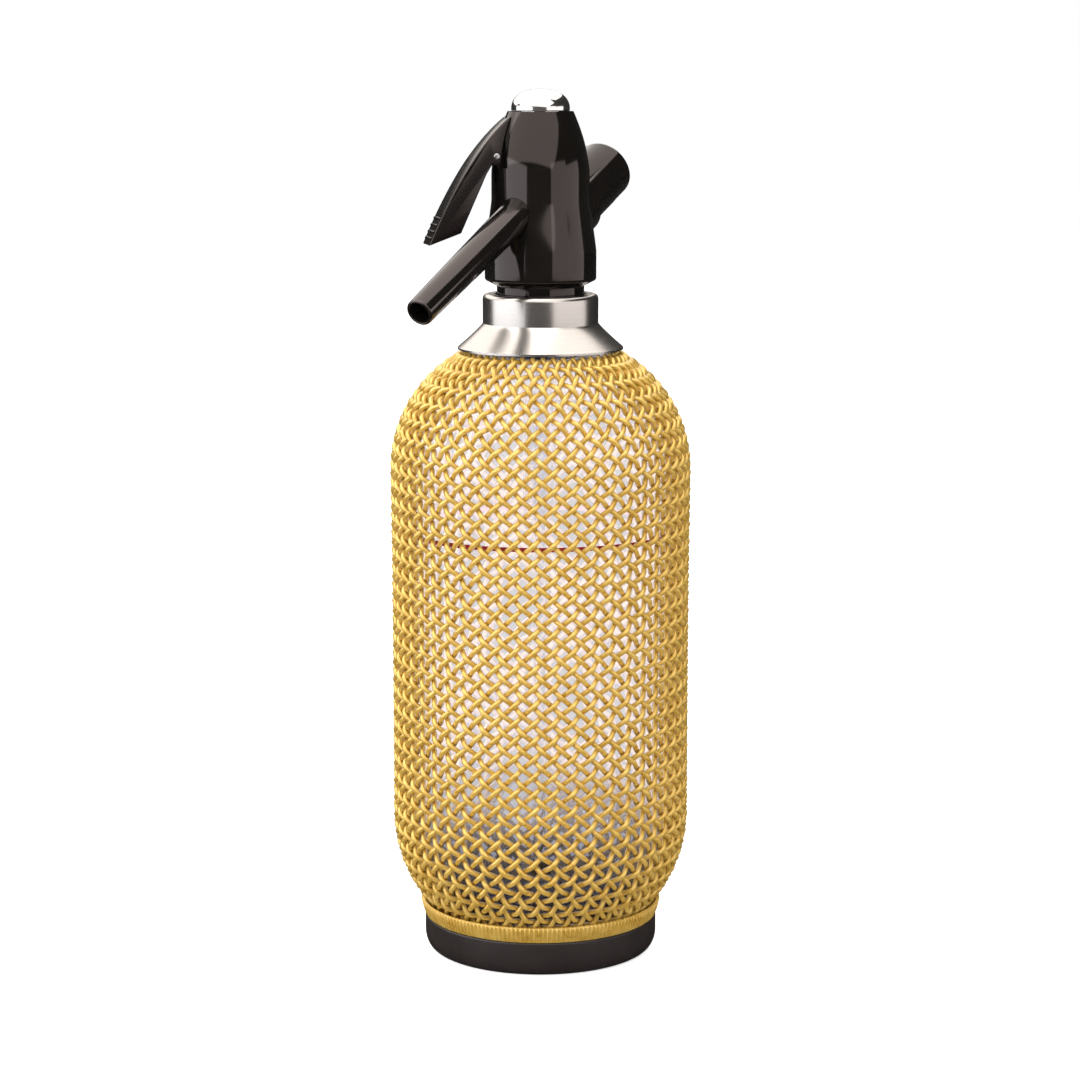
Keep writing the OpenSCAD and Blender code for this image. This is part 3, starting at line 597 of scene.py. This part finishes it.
# From a piece drawn upright on Z to its place
PIN_ACROSS = (Matrix.Translation((PIN_X * MM, 0, PIN_Z * MM))
              @ Matrix.Rotation(math.pi / 2, 4, "X"))
TO_LEVER = Matrix.Rotation(math.radians(225), 4, "Z")
TO_PIN = TO_LEVER @ PIN_ACROSS
TO_SPOUT = (Matrix.Translation((0, 0, SPOUT_Z * MM))
            @ Matrix.Rotation(math.pi / 2 + SLOPE, 4, "X"))
TO_CHARGER = (Matrix.Translation((0, 0, CHARGER_Z * MM))
              @ Matrix.Rotation(SLOPE - math.pi / 2, 4, "X"))


def settled(obj):
    """Applies the object's modifiers, and returns it with the plain result."""
    evaluated = obj.evaluated_get(bpy.context.evaluated_depsgraph_get())
    result = bpy.data.meshes.new_from_object(evaluated)
    obj.modifiers.clear()
    old, obj.data = obj.data, result
    bpy.data.meshes.remove(old)
    return obj


def combine(obj, operation, parts):
    """Cuts the parts from the object, or adds them to it."""
    tools = []
    for mesh in parts:
        tool = link("tool", mesh)
        step = obj.modifiers.new("combine", "BOOLEAN")
        step.operation, step.solver, step.object = operation, "EXACT", tool
        tools.append(tool)
    settled(obj)
    for tool in tools:
        bpy.data.objects.remove(tool)
    return obj


def bevelled(obj, width, segments, limit):
    """Rounds the edges that are sharper than a limit in degrees."""
    step = obj.modifiers.new("bevel", "BEVEL")
    step.width, step.segments = width * MM, segments
    step.limit_method, step.angle_limit = "ANGLE", math.radians(limit)
    step.use_clamp_overlap = True
    return settled(obj)


def placed(mesh, matrix):
    mesh.transform(matrix)
    return mesh


def dress(obj, body, material, slot, *nodes):
    """Gives a finished piece its body and its finish, and hides the nodes that it stands for."""
    obj.data.materials.clear()
    obj.data.materials.append(material)
    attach(obj, body)
    if nodes:
        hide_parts(*nodes)
    return obj


# ------------------------------------------------------ geometry nodes
def strands_tree():
    """Geometry nodes: the object's edges become a path, a round strand is swept
    along it, and copies of the strand stand evenly round Z."""
    tree = bpy.data.node_groups.new("strands_round_axis", "GeometryNodeTree")
    face = tree.interface
    face.new_socket("Path", in_out="INPUT", socket_type="NodeSocketGeometry")
    for name, kind, value in (("Strands", "NodeSocketInt", 1),
                              ("Radius", "NodeSocketFloat", 0.001),
                              ("Sides", "NodeSocketInt", 6)):
        face.new_socket(name, in_out="INPUT", socket_type=kind).default_value = value
    face.new_socket("Material", in_out="INPUT", socket_type="NodeSocketMaterial")
    face.new_socket("Strands", in_out="OUTPUT", socket_type="NodeSocketGeometry")
    new, join = tree.nodes.new, tree.links.new
    given, out = new("NodeGroupInput"), new("NodeGroupOutput")
    curve = new("GeometryNodeMeshToCurve")
    profile = new("GeometryNodeCurvePrimitiveCircle")
    sweep = new("GeometryNodeCurveToMesh")
    sweep.inputs["Fill Caps"].default_value = True
    points = new("GeometryNodePoints")
    index = new("GeometryNodeInputIndex")
    share = new("ShaderNodeMath")
    share.operation = "DIVIDE"
    angle = new("ShaderNodeMath")
    angle.operation = "MULTIPLY"
    angle.inputs[1].default_value = math.tau
    turn = new("ShaderNodeCombineXYZ")
    copies = new("GeometryNodeInstanceOnPoints")
    real = new("GeometryNodeRealizeInstances")
    soft = new("GeometryNodeSetShadeSmooth")
    paint = new("GeometryNodeSetMaterial")
    join(given.outputs["Path"], curve.inputs["Mesh"])
    join(given.outputs["Sides"], profile.inputs["Resolution"])
    join(given.outputs["Radius"], profile.inputs["Radius"])
    join(curve.outputs["Curve"], sweep.inputs["Curve"])
    join(profile.outputs["Curve"], sweep.inputs["Profile Curve"])
    join(given.outputs["Strands"], points.inputs["Count"])
    join(index.outputs["Index"], share.inputs[0])
    join(given.outputs["Strands"], share.inputs[1])
    join(share.outputs[0], angle.inputs[0])
    join(angle.outputs[0], turn.inputs["Z"])
    join(points.outputs["Points"], copies.inputs["Points"])
    join(sweep.outputs["Mesh"], copies.inputs["Instance"])
    join(turn.outputs[0], copies.inputs["Rotation"])
    join(copies.outputs["Instances"], real.inputs["Geometry"])
    join(real.outputs["Geometry"], soft.inputs["Geometry"])
    join(soft.outputs["Geometry"], paint.inputs["Geometry"])
    join(given.outputs["Material"], paint.inputs["Material"])
    join(paint.outputs["Geometry"], out.inputs["Strands"])
    return tree


STRANDS = strands_tree()


def strands(name, paths, count, radius, sides, material):
    """Sweeps a round strand along each path, and repeats them round Z."""
    points, edges = [], []
    for path in paths:
        edges += [(len(points) + i, len(points) + i + 1) for i in range(len(path) - 1)]
        points += [tuple(v * MM for v in p) for p in path]
    mesh = bpy.data.meshes.new(name)
    mesh.from_pydata(points, edges, [])
    obj = link(name, mesh)
    step = obj.modifiers.new("strands", "NODES")
    step.node_group = STRANDS
    wanted = {"Strands": count, "Radius": radius * MM, "Sides": sides, "Material": material}
    for item in STRANDS.interface.items_tree:
        if item.in_out == "INPUT" and item.name in wanted:
            step[item.identifier] = wanted[item.name]
    return settled(obj)


# --------------------------------------------------------------- bottle
def glass_outline():
    """Outside up from the base to the lip, then inside down again."""
    in_base, in_shoulder = BASE_ARC - GLASS_WALL, SHOULDER_ARC - GLASS_WALL
    base_a = -90 + math.degrees(math.asin(BASE_FLAT_R / BASE_ARC))
    fillet_a = math.degrees(math.atan2(FILLET_C[1] - SHOULDER_C[1], FILLET_C[0] - SHOULDER_C[0]))
    in_top_a = math.degrees(math.acos((NECK_BORE_R - SHOULDER_C[0]) / in_shoulder))
    outside = [(0, GLASS_Z + BASE_RISE)] + arc(BASE_C, BASE_ARC, base_a, 0, 44)
    outside += arc(SHOULDER_C, SHOULDER_ARC, 0, fillet_a, 40)
    outside += arc(FILLET_C, NECK_FILLET, 180 + fillet_a, 180, 6)
    outside += [(NECK_R, BEAD_Z - BEAD_CORNER[1]), (NECK_R + BEAD_CORNER[0], BEAD_Z),
                (BEAD_R - BEAD_EDGE[0], BEAD_Z), (BEAD_R, BEAD_Z + BEAD_EDGE[1])]
    outside += arc((BEAD_R - LIP_ROUND, LIP_Z - LIP_ROUND), LIP_ROUND, 0, 90, 5)
    inside = arc((NECK_BORE_R + LIP_ROUND, LIP_Z - LIP_ROUND), LIP_ROUND, 90, 180, 5)
    inside += arc(SHOULDER_C, in_shoulder, in_top_a, 0, 36)
    inside += arc(BASE_C, in_base, 0, FLOOR_TURN, 30)
    floor_z = BASE_C[1] - in_base + BASE_EXTRA
    edge_r, edge_z = inside[-1]
    inside += [(edge_r * (1 - t), edge_z + (floor_z - edge_z) * (1 - (1 - t) ** 2))
               for t in FLOOR_STEPS]
    return outside + inside + [(0, floor_z)]


def fill_line_outline():
    """Thin painted ring round the glass."""
    low, high = FILL_LINE_Z - FILL_LINE_H / 2, FILL_LINE_Z + FILL_LINE_H / 2
    return [(GLASS_R + PAINT_IN, low), (GLASS_R + PAINT_OUT, low + PAINT_EDGE),
            (GLASS_R + PAINT_OUT, high - PAINT_EDGE), (GLASS_R + PAINT_IN, high)]


dress(link("glass_bottle_shell", revolve("glass", glass_outline(), FINE_SEGMENTS)),
      "bottle", GLASS, "clear_glass", "glass_bottle")
dress(link("fill_line", revolve("fill_line", fill_line_outline(), FINE_SEGMENTS)),
      "bottle", RED_PAINT, "red_line")


# ---------------------------------------------------------- wire sleeve
def weave_path(hand):
    """Centre line of one wire. It climbs so that the length from crossing to
    crossing stays the same, and it swings out and in once for every two crossings."""
    middle = WEAVE_GAP + WIRE_D
    swing = WIRE_D / 2
    low_a = -math.asin((BASE_C[1] - FOOT_H - WIRE_LOW_GAP) / (BASE_ARC + middle))
    high_a = math.acos((SKIRT_R - WIRE_TOP_IN - SHOULDER_C[0]) / (SHOULDER_ARC + middle))
    low_l, high_l = -low_a * (BASE_ARC + middle), high_a * (SHOULDER_ARC + middle)
    full = low_l + SIDE_H + high_l
    half_cell = math.pi / WIRES
    path, turn, s, last = [], 0.0, 0.0, -1.0
    while s <= full:
        if s < low_l:
            a, centre, radius = -(low_l - s) / (BASE_ARC + middle), BASE_C, BASE_ARC
        elif s < low_l + SIDE_H:
            a, centre, radius = 0.0, (BASE_C[0], BASE_C[1] + s - low_l), BASE_ARC
        else:
            a = (s - low_l - SIDE_H) / (SHOULDER_ARC + middle)
            centre, radius = SHOULDER_C, SHOULDER_ARC
        slack = SLACK * math.exp(-((s - low_l - SIDE_H - SLACK_AT) / SLACK_SPREAD) ** 2)
        crossing = turn / half_cell
        if crossing - last >= 1 / CROSSING_POINTS - 1e-4:
            last = crossing if last < 0 else last + 1 / CROSSING_POINTS
            off = radius + middle + slack + hand * swing * math.cos(math.pi * crossing)
            r, z = centre[0] + off * math.cos(a), centre[1] + off * math.sin(a)
            path.append((r * math.cos(hand * turn), r * math.sin(hand * turn), z))
        mid_r = centre[0] + (radius + middle + slack) * math.cos(a)
        climb = math.sqrt(max(WIRE_STEP ** 2 - (half_cell * mid_r) ** 2, 1.0))
        turn += PATH_STEP * half_cell / climb
        s += PATH_STEP
    return path


for hand, side in ((1, "left"), (-1, "right")):
    sleeve = strands("woven_wires_" + side, [weave_path(hand)], WIRES, WIRE_D / 2, 6, GOLD)
    dress(sleeve, "bottle", GOLD, "gold_wire", "mesh_wires_" + side)


# ---------------------------------------------------------- ribbed band
def band_inner_r(z):
    """Inner radius of the band at a height, outside the wires."""
    return BASE_C[0] + math.sqrt((BASE_ARC + BAND_CLEAR) ** 2 - (BASE_C[1] - z) ** 2)


band_low, band_high = FOOT_H + BAND_LOW_GAP, FOOT_H + BAND_H
band_side = FOOT_R - BAND_SIDE_IN
band = link("foot_band", revolve("band", rounded([
    (band_inner_r(FOOT_H), band_low, 0),
    (band_side, band_low, 0.3),
    (band_side + BAND_FLARE, band_high, 0.6),
    (band_side - BAND_LIP + BAND_FLARE, band_high, 0),
    (band_inner_r(band_high) - BAND_GROOVE_IN, band_high - BAND_GROOVE, 0)], True)))
rib_path = [(FOOT_R - RIB_R + BAND_FLARE * flare - inset, 0, FOOT_H + height)
            for flare, inset, height in RIB_LINE]
ribs = strands("foot_band_ribs", [rib_path], BAND_RIBS, RIB_R, 8, GOLD)
dress(band, "bottle", GOLD, "gold_band", "mesh_foot_band")
dress(ribs, "bottle", GOLD, "gold_band")


# ----------------------------------------------------------------- foot
def foot_outline():
    """From the pad in the middle out over the hollow to the ring that stands, up
    the side, and down the inside of the cup."""
    cup_r = BASE_ARC + SEAT_GAP
    hollow_r = FOOT_R - FOOT_EDGE - FOOT_RING_IN
    under = [(0, 0), (FOOT_PAD_R, 0), (FOOT_PAD_R + FOOT_RECESS, FOOT_RECESS),
             (hollow_r - FOOT_RECESS, FOOT_RECESS), (hollow_r, 0)]
    edge = [(FOOT_R - FOOT_EDGE_IN * (1 - math.sin(a)), FOOT_EDGE * (1 - math.cos(a)))
            for a in (math.pi / 2 * i / 14 for i in range(15))]
    rim = arc((FOOT_R - FOOT_RIM, FOOT_H - FOOT_RIM), FOOT_RIM, 0, 90, 5)
    levels = [FOOT_H - (FOOT_H - FOOT_CUP_Z) * i / 10 for i in range(11)]
    cup = [(BASE_C[0] + math.sqrt(cup_r ** 2 - (BASE_C[1] - z) ** 2), z) for z in levels]
    return under + edge + rim + cup + [(0, FOOT_FLOOR_Z)]


dress(link("foot_cup", revolve("foot", foot_outline())),
      "bottle", FOOT_PLASTIC, "foot_plastic", "foot_ring")


# --------------------------------------------------------------- collar
def skirt_line(inset):
    """Outer line of the skirt, from its lower edge up to the upright part."""
    low = BEND_Z - SKIRT_H
    points = [(SKIRT_R - inset, low)]
    for i in range(SKIRT_STEPS + 1):
        t = i / SKIRT_STEPS
        points.append((COLLAR_R - inset + (SKIRT_R - COLLAR_R) * (1 - t) ** SKIRT_POWER,
                       low + SKIRT_LIP + SKIRT_RISE * t))
    return points


edge_c = (COLLAR_R - COLLAR_EDGE, COLLAR_TOP - COLLAR_EDGE)
collar_outline = (skirt_line(0) + arc(edge_c, COLLAR_EDGE, 0, 90, 10)
                  + [(COLLAR_HOLE_R, COLLAR_TOP), (COLLAR_HOLE_R, COLLAR_TOP - COLLAR_T)]
                  + arc(edge_c, COLLAR_EDGE - COLLAR_T, 90, 0, 8)
                  + skirt_line(COLLAR_T)[::-1])
dress(link("collar_shell", revolve("collar", collar_outline, FINE_SEGMENTS)),
      "bottle", STEEL, "steel", "neck_collar")


# ----------------------------------------------------------------- head
def head_side(gap=0.0, steps=28):
    """Side of the head from its neck to the seat of the cap, grown by a gap."""
    side = rounded([(NECK_THREAD_R + gap, HEAD_Z - HEAD_NECK_H, 0),
                    (NECK_THREAD_R + gap, HEAD_Z, 0.4),
                    (HEAD_BASE_R + gap, HEAD_Z + HEAD_CHAMFER_H, 1.2),
                    (HEAD_BASE_R + gap, CONE_Z, 0)], False)
    cone = []
    for i in range(1, steps + 1):
        t = i / steps
        curved = 0.5 - 0.5 * math.cos(math.pi * t)
        straight = min(max((t - CONE_END) / (1 - 2 * CONE_END), 0), 1)
        share = CONE_EASE * curved + (1 - CONE_EASE) * straight
        cone.append((HEAD_BASE_R + (WAIST_R - HEAD_BASE_R) * share + gap, CONE_Z + CONE_H * t))
    crown = [(WAIST_R - (WAIST_R - CROWN_R) * (i / steps) ** CROWN_POWER + gap,
              CROWN_Z + CROWN_H * i / steps) for i in range(steps + 1)]
    return side + cone + crown


def flange_room(side):
    """Room beside an ear of the head for a flange of the lever."""
    back, low = PIN_X - LEVER_BOSS_R - FREE_GAP, PIN_Z - LEVER_BOSS_R - 1.4
    out, top = PIN_X + 12, HEAD_TOP + 5
    inner = FLANGE_IN - FREE_GAP
    mesh = plate([(back, low), (out, low), (out, top), (back, top)], FLANGE_ROOM_OUT - inner)
    aside = Matrix.Translation((0, side * (FLANGE_ROOM_OUT + inner) / 2 * MM, 0))
    return placed(mesh, TO_LEVER @ aside)


def ear(side):
    """Ear of the head that holds an end of the lever's pin."""
    lobe = arc((PIN_X, PIN_Z), EAR_R, -90, 90, 16)
    mesh = plate([(8, PIN_Z - EAR_R - 3.5), (PIN_X - 2, PIN_Z - EAR_R - 1.5)] + lobe
                 + [(8, PIN_Z + EAR_R)], EAR_T)
    aside = Matrix.Translation((0, side * (EAR_GAP + EAR_T / 2) * MM, 0))
    return placed(mesh, TO_LEVER @ aside)


def charger_boss():
    """Round boss on the head that the charger holder screws into."""
    outline = rounded([(0, 0, 0), (BOSS_R, 0, 0), (BOSS_R, BOSS_S, 0.8), (0, BOSS_S, 0)], False)
    return placed(revolve("boss", outline, SMALL_SEGMENTS), TO_CHARGER)


def lever_slot():
    """Slot between the ears, for the finger of the lever."""
    return placed(plate([(4, SLOT_LOW_Z), (30, SLOT_LOW_Z), (30, SLOT_HIGH_Z),
                         (4, SLOT_HIGH_Z)], 2 * EAR_GAP), TO_LEVER)


bore_r, bore_h = ADAPTER_BORE
spigot_r = CAP_SPIGOT_R + RUN_GAP
head_outline = [(0, PLUG_Z + bore_h), (bore_r, PLUG_Z + bore_h), (bore_r, PLUG_Z)]
head_outline += rounded([(9, PLUG_Z, 0), (NECK_THREAD_R, PLUG_Z, 0.5),
                         (NECK_THREAD_R, HEAD_Z - 3, 0)], False)
head_outline += head_side()
head_outline += [(spigot_r, HEAD_TOP), (spigot_r, LEDGE_Z), (SPRING_SPACE_R, LEDGE_Z),
                 (SPRING_SPACE_R, SLOT_LOW_Z), (0, SLOT_LOW_Z)]
head = link("head_shell", revolve("head", head_outline, FINE_SEGMENTS))
combine(head, "DIFFERENCE", [flange_room(1), flange_room(-1)])
combine(head, "UNION", [ear(1), ear(-1), charger_boss()])
combine(head, "DIFFERENCE", [
    lever_slot(),
    placed(rod(PIN_R + PRESS_GAP, -15, 15), TO_PIN),
    placed(rod(SPOUT_ROOT_R + 0.05, SPOUT_SHOULDER_S, THROUGH), TO_SPOUT),
    placed(rod(SPOUT_SPIGOT_R + PRESS_GAP, SPOUT_SOCKET_S, THROUGH), TO_SPOUT),
    placed(rod(*THREAD_ROOM, THROUGH, 64), TO_CHARGER),
    placed(rod(HOLDER_R + RUN_GAP, BOSS_S, THROUGH, 64), TO_CHARGER),
    placed(rod(CELL_R, CELL_S, THROUGH, 64), TO_CHARGER),
    placed(rod(*BULB_NECK_ROOM, 0, 48), TO_CHARGER)])
smooth(head.data, 30)
dress(head, "head", BLACK_HEAD, "head_plastic", "head_housing")

cap_low = HEAD_TOP + RUN_GAP
cap_edge = HEAD_TOP + CAP_EDGE_H
cap_outline = [(0, HEAD_TOP + CAP_HOLLOW), (SPRING_SPACE_R, HEAD_TOP + CAP_HOLLOW),
               (SPRING_SPACE_R, LEDGE_Z + CAP_SEAL_H), (CAP_SPIGOT_R, LEDGE_Z + CAP_SEAL_H),
               (CAP_SPIGOT_R, cap_low)]
cap_outline += rounded([(CAP_R - 0.6, cap_low, 0), (CAP_R, cap_low, 0.4), (CAP_R, cap_edge, 0)],
                       False)
cap_outline += [(CAP_R * math.cos(a) ** CAP_ROUND, cap_edge + (CAP_H - CAP_EDGE_H) * math.sin(a))
                for a in (math.pi / 2 * i / 28 for i in range(1, 28))]
cap_outline += [(0, HEAD_TOP + CAP_H)]
dress(link("cap_shell", revolve("cap", cap_outline)), "head", CHROME, "chrome", "top_cap")


# ---------------------------------------------------------------- lever
def blade_at(t, inwards=0.0):
    """Point of the blade's curve, or one moved from it towards the head."""
    a, b, c, d = (Vector(p) for p in LEVER_CURVE)

    def on_curve(t):
        return a * (1 - t) ** 3 + 3 * b * t * (1 - t) ** 2 + 3 * c * t * t * (1 - t) + d * t ** 3

    along = (on_curve(t + 0.001) - on_curve(t - 0.001)).normalized()
    return on_curve(t) + inwards * Vector((along.y, -along.x))


def lever_outline():
    """Down the blade, back over the heel and the fork, and round the pin."""
    blade = [tuple(blade_at(i / 48)) for i in range(49)]
    boss = arc((PIN_X, PIN_Z), LEVER_BOSS_R, -60, -180, 10)
    return blade + [LEVER_HEEL, LEVER_FORK] + boss + [
        (PIN_X - LEVER_BOSS_R, PIN_Z + 2), (9, LEVER_CURVE[0][1] - 1)]


def lever_hollow():
    """Inside of the lever, open towards the head."""
    under = [tuple(blade_at(i / 48 * LEVER_HOLLOW_END, LEVER_WALL)) for i in range(49)]
    heel_x, heel_z = LEVER_HEEL[0], LEVER_HEEL[1] + 1.6
    return plate(under + [(heel_x + 1, heel_z), (heel_x - 20, heel_z), (0, PIN_Z),
                          (0, LEVER_CURVE[0][1])], 2 * FLANGE_IN)


lever = link("lever_grip", plate(lever_outline(), LEVER_W))
for v in lever.data.vertices:
    rise = min(max((v.co.z / MM - LEVER_TAPER_Z) / LEVER_TAPER_H, 0), 1)
    v.co.y *= 1 - (1 - LEVER_TOP_W / LEVER_W) * rise
bevelled(lever, 1.3, 5, 40)
head_room = revolve("head_room", [(0, 200)] + head_side(FREE_GAP) + [(0, 400)], SMALL_SEGMENTS)
combine(lever, "DIFFERENCE", [lever_hollow(), head_room])
combine(lever, "UNION", [plate(LEVER_FINGER, LEVER_FINGER_W)])
combine(lever, "DIFFERENCE", [placed(rod(PIN_R + 0.05, -15, 15), PIN_ACROSS)])
lever.data.transform(TO_LEVER)
smooth(lever.data, 32)
dress(lever, "lever", BLACK_LEVER, "head_plastic", "dispensing_lever")

# Grip ridges across the lower blade, each a little bowed
ridge_half = LEVER_W / 2 - 1.2
ridges = []
for i in range(GRIP_RIDGES):
    x, z = blade_at(0.8 + 0.05 * i)
    ridges.append([(x - 0.35, -ridge_half, z), (x - 0.2, 0, z), (x - 0.35, ridge_half, z)])
grip = strands("lever_ridges", ridges, 1, RIDGE_R, 10, BLACK_LEVER)
grip.data.transform(TO_LEVER)
dress(grip, "lever", BLACK_LEVER, "head_plastic")

pin_half = LEVER_W / 2 + 0.2
pin = revolve("pin", rounded([(0, -pin_half, 0), (PIN_R, -pin_half, 0.35),
                              (PIN_R, pin_half, 0.35), (0, pin_half, 0)], False), 48)
dress(link("lever_axle", placed(pin, TO_PIN)), "head", SPRING_STEEL, "spring_steel", "lever_pin")

# ---------------------------------------------------------------- spout
spout = revolve("spout", rounded([
    (SPOUT_BORE_R, SPOUT_SOCKET_S + 1, 0),
    (SPOUT_SPIGOT_R, SPOUT_SOCKET_S + 1, 0),
    (SPOUT_SPIGOT_R, SPOUT_SHOULDER_S, 0),
    (SPOUT_ROOT_R, SPOUT_SHOULDER_S, 0.3),
    (SPOUT_TIP_R + 0.08, SPOUT_REACH - 1, 0),
    (SPOUT_TIP_R, SPOUT_REACH, 0.9),
    (SPOUT_TIP_R - SPOUT_TIP_WALL, SPOUT_REACH, 0.35),
    (SPOUT_BORE_R, SPOUT_REACH - SPOUT_MOUTH, 0)], True), SMALL_SEGMENTS)
dress(link("spout_tube", placed(spout, TO_SPOUT)), "head", BLACK_SPOUT, "head_plastic", "spout")

# -------------------------------------------------------------- charger
holder = revolve("holder", rounded([
    (0, HOLDER_FLOOR_S, 0),
    (CELL_R - HOLDER_FLOOR_EDGE, HOLDER_FLOOR_S, 0),
    (CELL_R, HOLDER_FLOOR_S - HOLDER_FLOOR_EDGE, 0),
    (CELL_R, HOLDER_RIM_S, 0),
    (HOLDER_SPIGOT_R, HOLDER_RIM_S, 0.3),
    (HOLDER_SPIGOT_R, BOSS_S + SEAT_GAP, 0),
    (HOLDER_R, BOSS_S + SEAT_GAP, 0.4),
    (HOLDER_R, HOLDER_END, 2.2),
    (0, HOLDER_END, 0)], False, 8), 128)
dress(link("charger_cup", placed(holder, TO_CHARGER)),
      "holder", BLACK_HEAD, "head_plastic", "charger_holder")


def helix(radius, start, pitch, turns, steps=40):
    """Line of a thread round Z, with a number of steps for each turn."""
    return [(radius * math.cos(math.tau * i / steps), radius * math.sin(math.tau * i / steps),
             start + pitch * i / steps) for i in range(int(turns * steps) + 1)]


holder_line = helix(HOLDER_SPIGOT_R - 0.03, HOLDER_RIM_S + 1.0, pitch=3, turns=2.7)
holder_thread = strands("holder_thread", [holder_line], 1, THREAD_RIDGE_R, 6, BLACK_HEAD)
holder_thread.data.transform(TO_CHARGER)
dress(holder_thread, "holder", BLACK_HEAD, "head_plastic")
head_line = helix(NECK_THREAD_R - 0.03, PLUG_Z + 1.2, pitch=4, turns=1.9, steps=64)
head_thread = strands("head_thread", [head_line], 1, THREAD_RIDGE_R, 6, BLACK_HEAD)
dress(head_thread, "head", BLACK_HEAD, "head_plastic")

# ---------------------------------------------------- CAD pieces inside
INSIDE = {
    PALE_PLASTIC: ("collar_insert", "valve_seat", "tube_adapter"),
    GASKET_RUBBER: ("head_gasket",),
    SEAL_RUBBER: ("top_cap_seal", "piston_o_ring", "spout_seal", "charger_gasket"),
    VALVE_RUBBER: ("valve_disc",),
    BRASS: ("valve_piston", "piercing_pin"),
    SPRING_STEEL: ("valve_spring",),
    BULB_STEEL: ("charger_bulb",),
    TUBE_PLASTIC: ("riser_tube", "measuring_tube"),
}
for material, names in INSIDE.items():
    for name in names:
        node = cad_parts[name]
        node.data.materials.clear()
        node.data.materials.append(material)

# ---------------------------------------------------------------- stage
FLOOR_HALF = 4.0
FLOOR_GREY = (0.8, 0.8, 0.8)
FLOOR_IN_GLOSS = (0.03, 0.03, 0.03)
FLOOR_GLOW = 0.66      # lifts the lit floor to white, except in the shadow
LAMP_AIM = Vector((0, 0, 0.25))
LAMP_REACH = 1.5


def floor_paper():
    """Pale paper that shows white to the camera and through the glass, keeps its
    shadow, and stays dim in reflections."""
    s = Shader("floor_paper")
    rays = s.add("ShaderNodeLightPath")
    seen = s.add("ShaderNodeMath", operation="MAXIMUM")
    s.join(rays.outputs["Is Camera Ray"], seen.inputs[0])
    s.join(rays.outputs["Is Transmission Ray"], seen.inputs[1])
    shown = s.add("ShaderNodeMath", operation="MULTIPLY")
    shown.inputs[1].default_value = FLOOR_GLOW
    s.join(seen.outputs[0], shown.inputs[0])
    s.join(shown.outputs[0], s.principled.inputs["Emission Strength"])
    s.join(s.ramp(rays.outputs["Is Glossy Ray"], 0, 1, FLOOR_GREY, FLOOR_IN_GLOSS),
           s.principled.inputs["Base Color"])
    s.set(Roughness=0.9, Emission_Color=(1, 1, 1, 1), Specular_IOR_Level=0.0)
    return s.material


floor_mesh = bpy.data.meshes.new("floor")
floor_mesh.from_pydata([(-FLOOR_HALF, -FLOOR_HALF, 0), (FLOOR_HALF, -FLOOR_HALF, 0),
                        (FLOOR_HALF, FLOOR_HALF, 0), (-FLOOR_HALF, FLOOR_HALF, 0)],
                       [], [(0, 1, 2, 3)])
floor = link("floor", floor_mesh)
floor.data.materials.append(floor_paper())


def soft_box(name, turn, rise, spread, brightness, colour):
    """Area lamp that faces the siphon. Its turn from the camera's side and its
    rise are in degrees, and the spread is the half angle that it fills, across
    and upright."""
    width, height = (2 * LAMP_REACH * math.tan(math.radians(half)) for half in spread)
    data = bpy.data.lights.new(name, "AREA")
    data.shape, data.size, data.size_y, data.color = "RECTANGLE", width, height, colour
    data.energy = brightness * math.pi * width * height
    lamp = bpy.data.objects.new(name, data)
    lamp.location = LAMP_AIM + from_camera_side(
        math.radians(turn), LAMP_REACH * math.cos(math.radians(rise)),
        LAMP_REACH * math.sin(math.radians(rise)))
    lamp.rotation_euler = (LAMP_AIM - lamp.location).to_track_quat("-Z", "Y").to_euler()
    bpy.context.scene.collection.objects.link(lamp)


soft_box("left_box", -70, -1, spread=(38, 16), brightness=1.85, colour=(0.97, 0.97, 1.0))
soft_box("right_box_near", 43, 1, spread=(19, 15), brightness=1.2, colour=(1.0, 0.94, 0.92))
soft_box("right_box_far", 81, -2, spread=(19.2, 14), brightness=1.2, colour=(1.0, 0.94, 0.92))
soft_box("front_fill", -5, 0, spread=(26, 12), brightness=0.07, colour=(1.0, 0.95, 0.92))
soft_box("top_box", -27, 53, spread=(60, 37), brightness=1.4, colour=(1.0, 0.96, 0.92))
soft_box("back_box", -150, 64, spread=(48, 50), brightness=1.6, colour=(1.0, 0.94, 0.89))


def studio_world():
    """Soft light from all round, dim in reflections, and white to the camera and
    through the glass."""
    world = bpy.data.worlds.new("studio")
    world.use_nodes = True
    nodes, links = world.node_tree.nodes, world.node_tree.links
    nodes.clear()

    def background(colour):
        node = nodes.new("ShaderNodeBackground")
        node.inputs["Color"].default_value = (*colour, 1)
        return node.outputs[0]

    def blend(share, low, high):
        node = nodes.new("ShaderNodeMixShader")
        links.new(share, node.inputs["Fac"])
        links.new(low, node.inputs[1])
        links.new(high, node.inputs[2])
        return node.outputs[0]

    rays = nodes.new("ShaderNodeLightPath")
    seen = nodes.new("ShaderNodeMath")
    seen.operation = "MAXIMUM"
    links.new(rays.outputs["Is Camera Ray"], seen.inputs[0])
    links.new(rays.outputs["Is Transmission Ray"], seen.inputs[1])
    ambient = background((0.42, 0.42, 0.44))
    dim = background((0.035, 0.033, 0.031))
    white = background((1, 1, 1))
    unseen = blend(rays.outputs["Is Glossy Ray"], ambient, dim)
    surface = blend(seen.outputs[0], unseen, white)
    links.new(surface, nodes.new("ShaderNodeOutputWorld").inputs["Surface"])
    return world


bpy.context.scene.world = studio_world()
